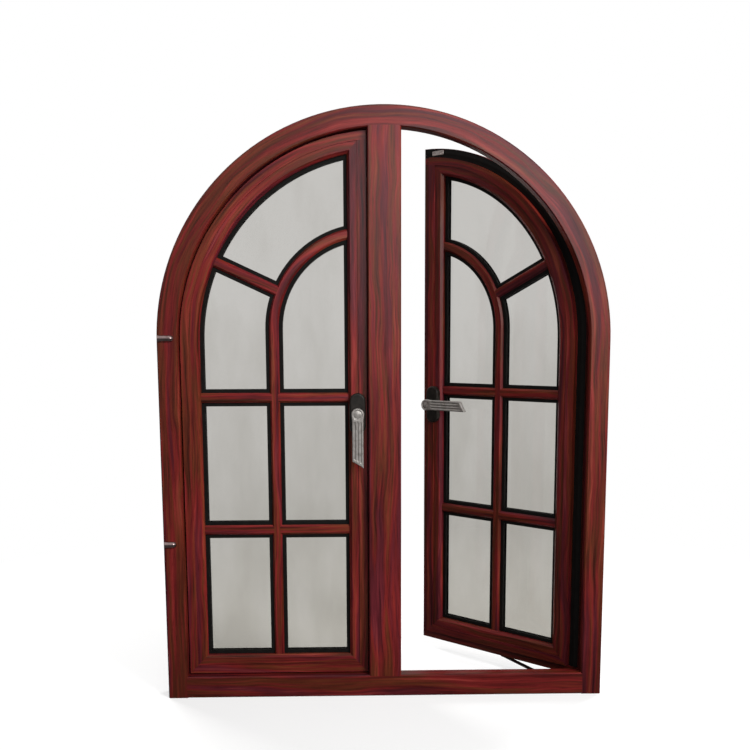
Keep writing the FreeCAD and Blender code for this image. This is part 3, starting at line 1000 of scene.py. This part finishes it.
@dataclass(frozen=True)
class ScrewHead:
    """A low round screw head with a cross recess.

    Attributes:
        radius: The head's radius.
        rise: Its height at the middle.
        fall: Share of that height that is gone at the edge.
        arm: Length of the recess's four arms.
        slot: Half the width of each arm.
        floor: Share of the height that is left in the recess.
        steps: Number of rows and of columns in the mesh.
    """

    radius: float = 3.2 * MM
    rise: float = 1.0 * MM
    fall: float = 0.8
    arm: float = 1.9 * MM
    slot: float = 0.5 * MM
    floor: float = 0.3
    steps: int = 30

    def half_width(self, along: float) -> float:
        """Half the head's width at a distance from its middle."""
        return arc(self.radius, along, BLUNT_TIP)

    def height(self, along: float, across: float) -> float:
        """Height of the domed front, lower inside the recess.

        Args:
            along: Distance from the middle along the rows.
            across: Distance from the middle across them.

        Returns:
            The height over the leaf.
        """
        dome = self.rise * (1 - self.fall * (math.hypot(along, across) / self.radius) ** 2)
        short, long = sorted((abs(along), abs(across)))
        return dome * (self.floor if short < self.slot and long < self.arm else 1.0)

    def add(self, mesh: Mesh, place: Place) -> None:
        """Add the head to a mesh, where a place function puts it."""
        reach = (-self.radius, self.radius)
        Relief(reach, self.half_width, self.height, rows=self.steps, columns=self.steps).add(mesh, place)


@dataclass
class OuterFrame:
    """Jambs, sill, arched head and mullion, with the seals in their rebates.

    Attributes:
        seed: Where in the print the first member was cut.
    """

    seed: float = 3.0

    def build(self) -> None:
        """Dress the fixed frame."""
        lays: dict[str, tuple[GrainLay, float, WoodGrain]] = {
            "right_jamb": (UprightLay(Side.RIGHT, PLAN.arch_radius), 0.0, SHADED_FRAME_WOOD),
            "left_jamb": (UprightLay(Side.LEFT, PLAN.arch_radius), 0.0, SHADED_FRAME_WOOD),
            "arch_head": (ArchLay(PLAN.arch_radius), 0.0, SHADED_FRAME_WOOD),
            "mullion": (UprightLay(), 5.3, WOOD),
            "sill_rail": (LevelLay(), 8.1, WOOD),
        }
        for node, (lay, cut, wood) in lays.items():
            dress(node, wood.material(f"{node}_grain", lay, self.seed + cut, swung=False))
        dress("rebate_seals", RUBBER.material("rebate_rubber"))


@dataclass
class Handle:
    """A fluted lever on a black plate.

    Attributes:
        side: The sash that it is on.
        plate_edge: Radius of the plate's rounded edge.
        lever_edge: Radius of the lever's rounded edge.
        slant: How far one corner of the lever's end runs past the other.
        stem_share: The stem's width as a share of the disc's.
        neck_radius: Radius of the boss between plate and lever.
        neck_rings: Shares of the neck's length, each with its share of the radius.
        neck_sides: Number of the neck's sides.
        lever_thickness: Thickness of the lever.
        flutes: Number of grooves along the stem.
        flute_depth: Depth of each groove.
        flute_spread: Width of all the grooves as a share of the stem's.
        flute_start: Where they begin, in radii of the disc from the hub.
        flute_stop: Distance from their far end to the lever's.
        flute_fade: Length over which they reach their depth.
        flute_power: Power that narrows them from plain waves.
        button_depth: How far the edge of the head's domed button lies below its middle.
        button_share: The button's radius as a share of the disc's.
        moat_share: Width of the moat's outer wall as a share of the disc's radius.
    """

    side: Side
    plate_edge: float = 4 * MM
    lever_edge: float = 2.6 * MM
    slant: float = 15 * MM
    stem_share: float = 0.9
    neck_radius: float = 10 * MM
    neck_rings: tuple[Pair, ...] = ((0.0, 1.0), (0.55, 0.86), (1.0, 0.97))
    neck_sides: int = 40
    lever_thickness: float = 9 * MM
    flutes: int = 3
    flute_depth: float = 1.7 * MM
    flute_spread: float = 0.78
    flute_start: float = 1.12
    flute_stop: float = 7 * MM
    flute_fade: float = 3 * MM
    flute_power: float = 1.3
    button_depth: float = 1.5 * MM
    button_share: float = 0.68
    moat_share: float = 0.12

    def build(self) -> None:
        """Build the plate and the lever."""
        self.build_plate()
        self.build_lever()

    def build_plate(self) -> None:
        """An upright plate with round ends and a soft edge."""
        low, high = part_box("left_handle_plate")
        half = (high.x - low.x) / 2
        reach = (high.z - low.z) / 2
        middle = (low + high) / 2
        thickness = high.y - low.y

        def past(along: float) -> float:
            """Distance past the straight sides."""
            return max(0.0, abs(along) - (reach - half))

        def half_width(along: float) -> float:
            """Half the plate's width at a distance along."""
            return arc(half, past(along), FINE_TIP)

        def height(along: float, across: float) -> float:
            """The front's height over a point."""
            return rounded(half - math.hypot(past(along), across), thickness, self.plate_edge)

        def place(along: float, across: float, raised: float) -> Vector:
            """Where a point of the plate lies."""
            return settle(self.side, Vector((middle.x + across, high.y - raised, middle.z + along)))

        mesh = bmesh.new()
        Relief((-reach, reach), half_width, height).add(mesh, place)
        name = f"{self.side.word}_plate"
        fit(name, mesh, BLACK.material(f"{name}_black"), Slot.BLACK, f"{self.side.word}_handle_plate")

    def build_lever(self) -> None:
        """A flat lever with a round head, grooves along its stem and a slanted end."""
        low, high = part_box("left_handle_lever")
        disc = (high.x - low.x) / 2
        hub = Vector(((low.x + high.x) / 2, high.y, high.z - disc))
        back = low.y + self.lever_thickness
        end = hub.z - low.z - self.slant / 2

        def lean(along: float) -> float:
            """How far the row's far edge runs ahead."""
            return self.slant / 2 * max(0.0, along - disc) / (end - disc)

        def half_width(along: float) -> float:
            """Half the lever's width, which eases from the disc's to the stem's.

            Args:
                along: Distance from the hub.

            Returns:
                The half width there.
            """
            if along <= 0:
                return arc(disc, along, FINE_TIP)
            ease = min(1.0, along / disc)
            return disc * (1 - (1 - self.stem_share) * ease * ease * (3 - 2 * ease))

        def height(along: float, across: float) -> float:
            """The front's height over a point.

            Args:
                along: Distance from the hub.
                across: Distance from the lever's middle line.

            Returns:
                The height over the lever's back.
            """
            inset = min(half_width(along) - abs(across), end - along)
            if along < 0:
                inset = disc - math.hypot(along, across)
            raised = rounded(max(0.0, inset), self.lever_thickness, self.lever_edge)
            return raised - self.groove(along, across, disc, end)

        def place(along: float, across: float, raised: float) -> Vector:
            """Where a point lies: the left lever hangs down, the right one is level.

            Args:
                along: Distance from the hub.
                across: Distance from the lever's middle line.
                raised: Height over the lever's back.

            Returns:
                The point of the part.
            """
            depth = back - raised
            if self.side is Side.LEFT:
                return Vector((hub.x + across, depth, hub.z - along))
            return settle(self.side, Vector((hub.x - along, depth, hub.z - across)))

        mesh = bmesh.new()
        Relief((-disc, end), half_width, height, lean, rows=140, columns=56).add(mesh, place)
        self.add_neck(mesh, place, hub.y - back)
        name = f"{self.side.word}_lever"
        fit(name, mesh, SATIN.material(f"{name}_satin"), Slot.LEVER, f"{self.side.word}_handle_lever")

    def groove(self, along: float, across: float, disc: float, end: float) -> float:
        """Depth of the lever's grooves, and of the moat round the domed button of its head.

        Args:
            along: Distance from the hub.
            across: Distance from the lever's middle line.
            disc: Radius of the round head.
            end: Where the lever ends.

        Returns:
            How far the front lies below the plain lever.
        """
        from_hub = math.hypot(along, across)
        head = 0.0
        if from_hub < disc:
            button = self.button_share * disc
            wall = max(0.0, 1 - (from_hub - button) / (self.moat_share * disc))
            head = self.button_depth * ((from_hub / button) ** 2 if from_hub < button else wall)
        share = across / (disc * self.stem_share * self.flute_spread)
        start, stop = disc * self.flute_start, end - self.flute_stop
        if abs(share) > 1 or not start < along < stop:
            return head
        fade = min(1.0, (along - start) / self.flute_fade, (stop - along) / self.flute_fade)
        wave = (1 - math.cos(math.pi * (share + 1) * self.flutes)) / 2
        return head + self.flute_depth * fade * wave ** self.flute_power

    def add_neck(self, mesh: Mesh, place: Place, length: float) -> None:
        """Add the round boss that carries the lever on its plate.

        Args:
            mesh: The mesh to add to.
            place: Turns along, across and height into a point of the part.
            length: Distance from the lever's back to the plate.
        """
        turns = [2 * math.pi * side / self.neck_sides for side in range(self.neck_sides)]
        loops = []
        for share, grow in self.neck_rings:
            radius = self.neck_radius * grow
            loops.append([
                mesh.verts.new(place(radius * math.cos(turn), radius * math.sin(turn), -length * share))
                for turn in turns])
        for first, second in zip(loops, loops[1:]):
            for side in range(self.neck_sides):
                after = (side + 1) % self.neck_sides
                mesh.faces.new((first[side], first[after], second[after], second[side]))
        mesh.faces.new(loops[0])
        mesh.faces.new(loops[-1])


@dataclass
class LockPlate:
    """A small steel plate with two sunk screws, at the top of the meeting stile.

    Attributes:
        side: The sash that it is on.
        corner: Radius of its corners.
        edge: Radius of its rounded edge.
        pitch: Distance between its screws.
        screw: Radius of the screws.
        sunk: How far the screws lie below the face.
        slot: Half the width of the screws' slots.
        slot_depth: Depth of those slots below the face, as a multiple of the screws'.
    """

    side: Side
    corner: float = 2.0 * MM
    edge: float = 0.6 * MM
    pitch: float = 20.0 * MM
    screw: float = 2.8 * MM
    sunk: float = 0.35 * MM
    slot: float = 0.45 * MM
    slot_depth: float = 2.5

    def build(self) -> None:
        """Build the plate on its sash."""
        low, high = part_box("left_lock_plate")
        middle = (low + high) / 2
        length, width = (high.x - low.x) / 2, (high.z - low.z) / 2
        thickness = high.y - low.y

        def half_width(along: float) -> float:
            """Half the plate's width at a distance along."""
            past = max(0.0, abs(along) - (length - self.corner))
            return width - self.corner + arc(self.corner, past)

        def height(along: float, across: float) -> float:
            """The front's height over a point."""
            inset = min(length - abs(along), half_width(along) - abs(across))
            return rounded(max(0.0, inset), thickness, self.edge) - self.dimple(along, across)

        def place(along: float, across: float, raised: float) -> Vector:
            """Where a point of the plate lies."""
            return settle(self.side, Vector((middle.x + along, high.y - raised, middle.z + across)))

        mesh = bmesh.new()
        Relief((-length, length), half_width, height, rows=120, columns=44).add(mesh, place)
        name = f"{self.side.word}_lock"
        fit(name, mesh, STEEL.material(f"{name}_steel"), Slot.STEEL, f"{self.side.word}_lock_plate")

    def dimple(self, along: float, across: float) -> float:
        """Depth of the sunk screws and their slots.

        Args:
            along: Distance along from the plate's middle.
            across: Distance across from it.

        Returns:
            How far the front lies below the plate's face.
        """
        beside = abs(along) - self.pitch / 2
        if math.hypot(beside, across) > self.screw:
            return 0.0
        return self.sunk * (self.slot_depth if abs(across) < self.slot else 1.0)


@dataclass
class HingeScrews:
    """Three screws in each leaf of a sash's two hinges.

    Attributes:
        side: The sash that the hinges carry.
        leaf_width: Width of a leaf.
        leaf_thickness: Thickness of a leaf.
        half_length: Half the length of a hinge.
        pitch: Distance between screws.
        head: The screws' heads.
    """

    side: Side
    leaf_width: float = 22.0 * MM
    leaf_thickness: float = 2.5 * MM
    half_length: float = 40.0 * MM
    pitch: float = 26.0 * MM
    head: ScrewHead = ScrewHead()

    def build(self) -> None:
        """Build all the screws as one piece."""
        mesh = bmesh.new()
        half = self.leaf_width / 2
        for leaf, carrier, on_sash in (("left_frame_hinges", "left_jamb", False),
                                       ("left_sash_hinges", "left_hinge_stile", True)):
            low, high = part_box(leaf)
            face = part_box(carrier)[1].y + self.leaf_thickness
            middle = high.x - half if on_sash else low.x + half
            for centre in (low.z + self.half_length, high.z - self.half_length):
                for step in (-1, 0, 1):
                    seat = Vector((middle, face, centre + step * self.pitch))
                    self.head.add(mesh, self.placed(seat, on_sash))
        name = f"{self.side.word}_hinge_screws"
        fit(name, mesh, STEEL.material(f"{name}_steel"), Slot.STEEL)

    def placed(self, seat: Vector, on_sash: bool) -> Place:
        """Where the points of one screw go.

        Args:
            seat: The middle of the screw on the left half's leaf.
            on_sash: Whether the leaf is on the sash.

        Returns:
            What turns along, across and height into a point of the part.
        """
        return lambda along, across, raised: settle(
            self.side, seat + Vector((across, raised, along)), on_sash)


@dataclass
class FlangeSeal:
    """A black rubber strip on the open sash's flange, up the hinge stile and round the arch.

    Attributes:
        width: Width of the strip.
        margin: Distance in from the flange's outer edge.
        base: Thickness of the flat strip.
        lip: Height of the ridge along its middle.
        lip_share: Half the width of that ridge, as a share of half the strip's.
        foot: Height at which it begins.
        clear: Gap round the lock plate.
        end: Angle at which it ends, by the meeting stile.
        long_rows: Number of rows in its long run.
        short_rows: Number of rows in each of its other lengths.
        columns: Number of columns.
    """

    width: float = 21.0 * MM
    margin: float = 1.0 * MM
    base: float = 0.7 * MM
    lip: float = 0.8 * MM
    lip_share: float = 0.3
    foot: float = 50.0 * MM
    clear: float = 0.4 * MM
    end: float = math.radians(87.8)
    long_rows: int = 170
    short_rows: int = 10
    columns: int = 14

    @cached_property
    def outer(self) -> float:
        """Radius of the strip's outer edge round the arch."""
        return -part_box("left_arch_rail")[0].x - self.margin

    def build(self) -> None:
        """Build the strip, which narrows above and below the lock plate."""
        outer, inner = self.outer, self.outer - self.width
        low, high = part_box("left_lock_plate")
        turns = [math.atan2(z - PLAN.spring, -x) for x in (low.x, high.x) for z in (low.z, high.z)]
        spare = self.clear / outer
        before, after = min(turns) - spare, max(turns) + spare
        over, under = high.z + self.clear - PLAN.spring, low.z - self.clear - PLAN.spring
        start = (self.foot - PLAN.spring) / outer
        mesh = bmesh.new()
        self.add(mesh, (start, before), lambda turn: (inner, outer), self.long_rows)
        self.add(mesh, (before, after), lambda turn: (over / math.sin(turn), outer), self.short_rows)
        self.add(mesh, (before, after), lambda turn: (inner, under / math.sin(turn)), self.short_rows)
        self.add(mesh, (after, self.end), lambda turn: (inner, outer), self.short_rows)
        fit("right_flange_seal", mesh, RUBBER.material("flange_rubber"), Slot.RUBBER)

    def add(self, mesh: Mesh, reach: Pair, edges: Callable[[float], Pair], rows: int) -> None:
        """Add one length of the strip to a mesh.

        Args:
            mesh: The mesh to add to.
            reach: Where it begins and ends, as turns about the arch's centre. Below the arch a turn
                is the distance down divided by the strip's outer radius.
            edges: The strip's inner and outer radius at a turn.
            rows: Number of rows along it.
        """
        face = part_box("left_lock_plate")[1].y

        def half_width(turn: float) -> float:
            """Half the strip's width at a turn."""
            inside, outside = edges(turn)
            return (outside - inside) / 2

        def height(turn: float, across: float) -> float:
            """Height of the strip and its ridge over a point."""
            share = across / half_width(turn) / self.lip_share
            return self.base + self.lip * math.exp(-share ** 2)

        def place(turn: float, across: float, raised: float) -> Vector:
            """Where a point lies: up the stile, then round the arch.

            Args:
                turn: Turn about the arch's centre.
                across: Distance out from the strip's middle line.
                raised: Height over the flange.

            Returns:
                The point of the part.
            """
            radius = sum(edges(turn)) / 2 + across
            bend = max(0.0, turn)
            rise = PLAN.spring + min(0.0, turn) * self.outer + radius * math.sin(bend)
            return settle(Side.RIGHT, Vector((-radius * math.cos(bend), face - raised, rise)))

        Relief(reach, half_width, height, rows=rows, columns=self.columns).add(mesh, place)


@dataclass
class Sash:
    """One glazed casement: its members, beads, bars, panes and furniture.

    Attributes:
        side: The half of the window.
        seed: Where in the print its first member was cut.
    """

    side: Side
    seed: float

    def node(self, name: str) -> str:
        """A node's full name on this sash."""
        return f"{self.side.word}_{name}"

    def lays(self) -> dict[str, tuple[GrainLay, float]]:
        """How the grain lies on each wooden-looking member.

        Returns:
            The members' names, each with its lay and where in the print it was cut.
        """
        bead_low, bead_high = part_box("left_glazing_bead")
        bar_low, bar_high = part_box("left_inner_arch_bar")
        rail = -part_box("left_arch_rail")[0].x
        bar = bar_high.z - bar_low.z
        centre = (self.side.value * (-bar_low.x - bar), bar_low.z - PLAN.spring)
        return {
            "hinge_stile": (UprightLay(self.side, rail), 0.0),
            "arch_rail": (ArchLay(rail), 0.0),
            "meeting_stile": (UprightLay(self.side), 2.7),
            "bottom_rail": (LevelLay(), 8.1),
            "upright_bar": (UprightLay(self.side, bar, centre), 5.4),
            "inner_arch_bar": (ArchLay(bar, centre), 5.4),
            "lower_crossbar": (LevelLay(), 10.8),
            "upper_crossbar": (LevelLay(), 13.5),
            "radial_bar": (SlopeLay(self.side), 21.6),
            "glazing_bead": (BeadLay(self.side, -bead_high.x, -bead_low.x, bead_low.z), 24.3),
        }

    def build(self) -> None:
        """Dress the sash and build its furniture."""
        swung = self.side is Side.RIGHT
        for name, (lay, cut) in self.lays().items():
            node = self.node(name)
            dress(node, WOOD.material(f"{node}_grain", lay, self.seed + cut, swung))
        dress(self.node("panes"), GLASS.material(self.node("glass")))
        dress(self.node("pane_gaskets"), RUBBER.material(self.node("gasket_rubber")))
        black = BLACK.material(self.node("hinge_black"))
        dress(self.node("frame_hinges"), black)
        dress(self.node("sash_hinges"), black)
        Handle(self.side).build()
        LockPlate(self.side).build()
        HingeScrews(self.side).build()
        if swung:
            FlangeSeal().build()


@dataclass
class Stay:
    """The arm that holds the open sash, and its track on the sill."""

    def build(self) -> None:
        """Dress the stay."""
        dark = DARK_STEEL.material("stay_steel")
        dress("stay_track", dark)
        dress("stay_arm", dark)


@dataclass
class Pegs:
    """Two half-round pegs with round noses, flat on the left jamb's face.

    Attributes:
        lower_length: Length of the lower peg.
        edge: Radius of the edge at their blunt ends.
        rim: Height of their straight sides.
    """

    lower_length: float = 27.0 * MM
    edge: float = 1.0 * MM
    rim: float = 0.4 * MM

    def build(self) -> None:
        """Build both pegs as one piece."""
        low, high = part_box("fixing_pegs")
        radius = high.y - low.y
        mesh = bmesh.new()
        self.add(mesh, Vector((low.x, high.y, high.z - radius)), radius, high.x - low.x)
        self.add(mesh, Vector((low.x, high.y, low.z + radius)), radius, self.lower_length)
        fit("jamb_pegs", mesh, PAINTED_REFLECTION_STEEL.material("peg_steel"), Slot.STEEL, "fixing_pegs")

    def add(self, mesh: Mesh, start: Vector, radius: float, length: float) -> None:
        """Add one peg to a mesh.

        Args:
            mesh: The mesh to add to.
            start: The middle of its blunt end, on the jamb's face.
            radius: The peg's radius.
            length: Its length to the tip of the nose.
        """
        def half_width(along: float) -> float:
            """Half the peg's width at a distance along."""
            nose = arc(radius, max(0.0, along - (length - radius)), BLUNT_TIP)
            return min(nose, rounded(along, radius, self.edge))

        def height(along: float, across: float) -> float:
            """Height of the half-round front over a point."""
            return self.rim + (radius - self.rim) * arc(half_width(along), across) / radius

        def place(along: float, across: float, raised: float) -> Vector:
            """Where a point of the peg lies."""
            return start + Vector((along, -raised, across))

        Relief((0.0, length), half_width, height, rows=60, columns=36).add(mesh, place)


@dataclass(frozen=True)
class Lamp:
    """A square soft light.

    Attributes:
        name: The lamp's name.
        place: Where it stands.
        aim: The point that it faces.
        size: Length of its sides.
        power: Its power in watts.
        glossy: Whether the lamp itself shows in polished pieces.
    """

    name: str
    place: Triple
    aim: Triple
    size: float
    power: float
    glossy: bool = False

    def build(self, spared: bpy.types.Collection) -> None:
        """Add the lamp to the scene.

        Args:
            spared: The pieces that don't mirror the lamp.
        """
        data = bpy.data.lights.new(self.name, "AREA")
        data.energy = self.power
        data.size = self.size
        lamp = bpy.data.objects.new(self.name, data)
        lamp.location = self.place
        lamp.rotation_euler = (Vector(self.aim) - lamp.location).to_track_quat("-Z", "Y").to_euler()
        lamp.visible_glossy = self.glossy
        lamp.visible_transmission = False
        lamp.light_linking.receiver_collection = spared
        bpy.context.scene.collection.objects.link(lamp)
        log.info("lit %s", self.name)


@dataclass
class Studio:
    """A pale floor, soft light and the photograph's viewpoint.

    Attributes:
        floor_size: Length of the floor's sides.
        floor_colour: The floor's colour in the picture.
        floor_bounce: Share of light that the floor throws back at the window.
        floor_roughness: The floor's roughness.
        floor_specular: Strength of its mirror reflection.
        floor_glow: Share of the near floor that shows as plain white.
        floor_fade: Distances from the window at which it begins to turn plain white and is all white.
        ambient: Strength of the light from all round.
        sky: Strength of the sheen from above.
        ground: Strength of the sheen from below.
        sheen_colour: The sheen's colour.
        sheen_rise: Upward shares of a direction between which the ground gives way to the sky.
        lens: Focal length in millimetres.
        sensor: Width of the sensor in millimetres.
        shift: How far the picture is moved up, as a share of its width.
        eye: Where the camera stands.
        tilt: The camera's turns about X, Y and Z in degrees.
        lamps: The lamps, in the order in which they are set up.
    """

    floor_size: float = 40.0
    floor_colour: Colour = (0.93, 0.93, 0.925)
    floor_bounce: float = 0.18
    floor_roughness: float = 0.9
    floor_specular: float = 0.1
    floor_glow: float = 0.55
    floor_fade: Pair = (0.5, 1.9)
    ambient: float = 0.07
    sky: float = 0.6
    ground: float = 0.08
    sheen_colour: Colour = (1.0, 0.97, 0.96)
    sheen_rise: Pair = (-0.1, 0.45)
    lens: float = 43.2073
    sensor: float = 36.0
    shift: float = 0.11333
    eye: Triple = (-0.05975, -2.02395, 0.8192)
    tilt: Triple = (82.3783, 0.2174, -1.1045)
    lamps: tuple[Lamp, ...] = (
        Lamp("key", (4.2, -4.4, 3.6), aim=(0.0, 0.0, 0.7), size=2.2, power=580.0),
        Lamp("sheen", (0.75, -2.65, 1.65), aim=(0.2, 0.0, 1.1), size=1.4, power=34.0, glossy=True),
        Lamp("rear_right", (2.4, 2.6, 2.4), aim=(0.0, 0.0, 0.65), size=1.6, power=150.0),
        Lamp("rear_left", (-2.2, 2.4, 2.2), aim=(0.0, 0.0, 0.65), size=1.6, power=110.0),
    )

    def build(self) -> None:
        """Set up floor, world, lamps and camera."""
        bpy.context.scene.view_settings.view_transform = "Standard"
        self.build_floor()
        self.build_world()
        panes = self.spared_panes()
        for lamp in self.lamps:
            lamp.build(panes)
        self.build_camera()

    @staticmethod
    def spared_panes() -> bpy.types.Collection:
        """Group the panes, in which the lamps' own images don't show.

        Returns:
            The group.
        """
        group = bpy.data.collections.new("spared_panes")
        for side in Side:
            group.objects.link(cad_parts[f"{side.word}_panes"])
        for member in group.collection_objects:
            member.light_linking.link_state = "EXCLUDE"
        return group

    def build_floor(self) -> None:
        """A plain pale floor that keeps the window's shadow."""
        shader = Shader("pale_floor")
        seen = shader.seen()
        shader.set(
            Base_Color=shader.ramp(seen, (0.0, (self.floor_bounce,) * 3), (1.0, self.floor_colour)),
            Roughness=self.floor_roughness,
            Specular_IOR_Level=self.floor_specular,
        )
        x, y, _ = shader.split(shader.place())
        white = shader.span(shader.hypot(x, y), self.floor_glow, 1.0, self.floor_fade)
        glow = shader.node("Emission").outputs["Emission"]
        shown = shader.calc("MULTIPLY", seen, white)
        shader.join(shader.mix(shown, shader.surface.outputs["BSDF"], glow), shader.output)
        mesh = bmesh.new()
        bmesh.ops.create_grid(mesh, x_segments=1, y_segments=1, size=self.floor_size / 2)
        floor = add_mesh("floor", mesh, shader.material)
        floor.location.z = cad_box[0][2]
        floor.visible_glossy = False

    def build_world(self) -> None:
        """White behind the window, and even light with a paler sky for sheen."""
        world = bpy.data.worlds.new("studio")
        bpy.context.scene.world = world
        world.use_nodes = True
        graph = Graph(world.node_tree)
        upward = graph.split(graph.node("TexCoord").outputs["Generated"])[2]
        rise = graph.span(upward, self.ground, self.sky, self.sheen_rise)
        sheen = graph.background(self.sheen_colour, rise)
        glossy = graph.node("LightPath").outputs["Is Glossy Ray"]
        light = graph.mix(glossy, graph.background(WHITE, self.ambient), sheen)
        final = graph.mix(graph.seen(), light, graph.background(WHITE, 1.0))
        graph.join(final, graph.node("OutputWorld").inputs["Surface"])

    def build_camera(self) -> None:
        """The photograph's viewpoint."""
        data = bpy.data.cameras.new("viewpoint")
        data.sensor_fit = "HORIZONTAL"
        data.sensor_width = self.sensor
        data.lens = self.lens
        data.shift_y = self.shift
        camera = bpy.data.objects.new("viewpoint", data)
        camera.location = self.eye
        camera.rotation_euler = [math.radians(turn) for turn in self.tilt]
        bpy.context.scene.collection.objects.link(camera)
        bpy.context.scene.camera = camera


def main() -> None:
    """Dress the window, build its furniture and set up the studio."""
    logging.basicConfig(level=logging.INFO, format="%(message)s")
    OuterFrame().build()
    Sash(Side.LEFT, seed=17.0).build()
    Sash(Side.RIGHT, seed=71.0).build()
    Stay().build()
    Pegs().build()
    Studio().build()


if __name__ == "__main__":
    main()
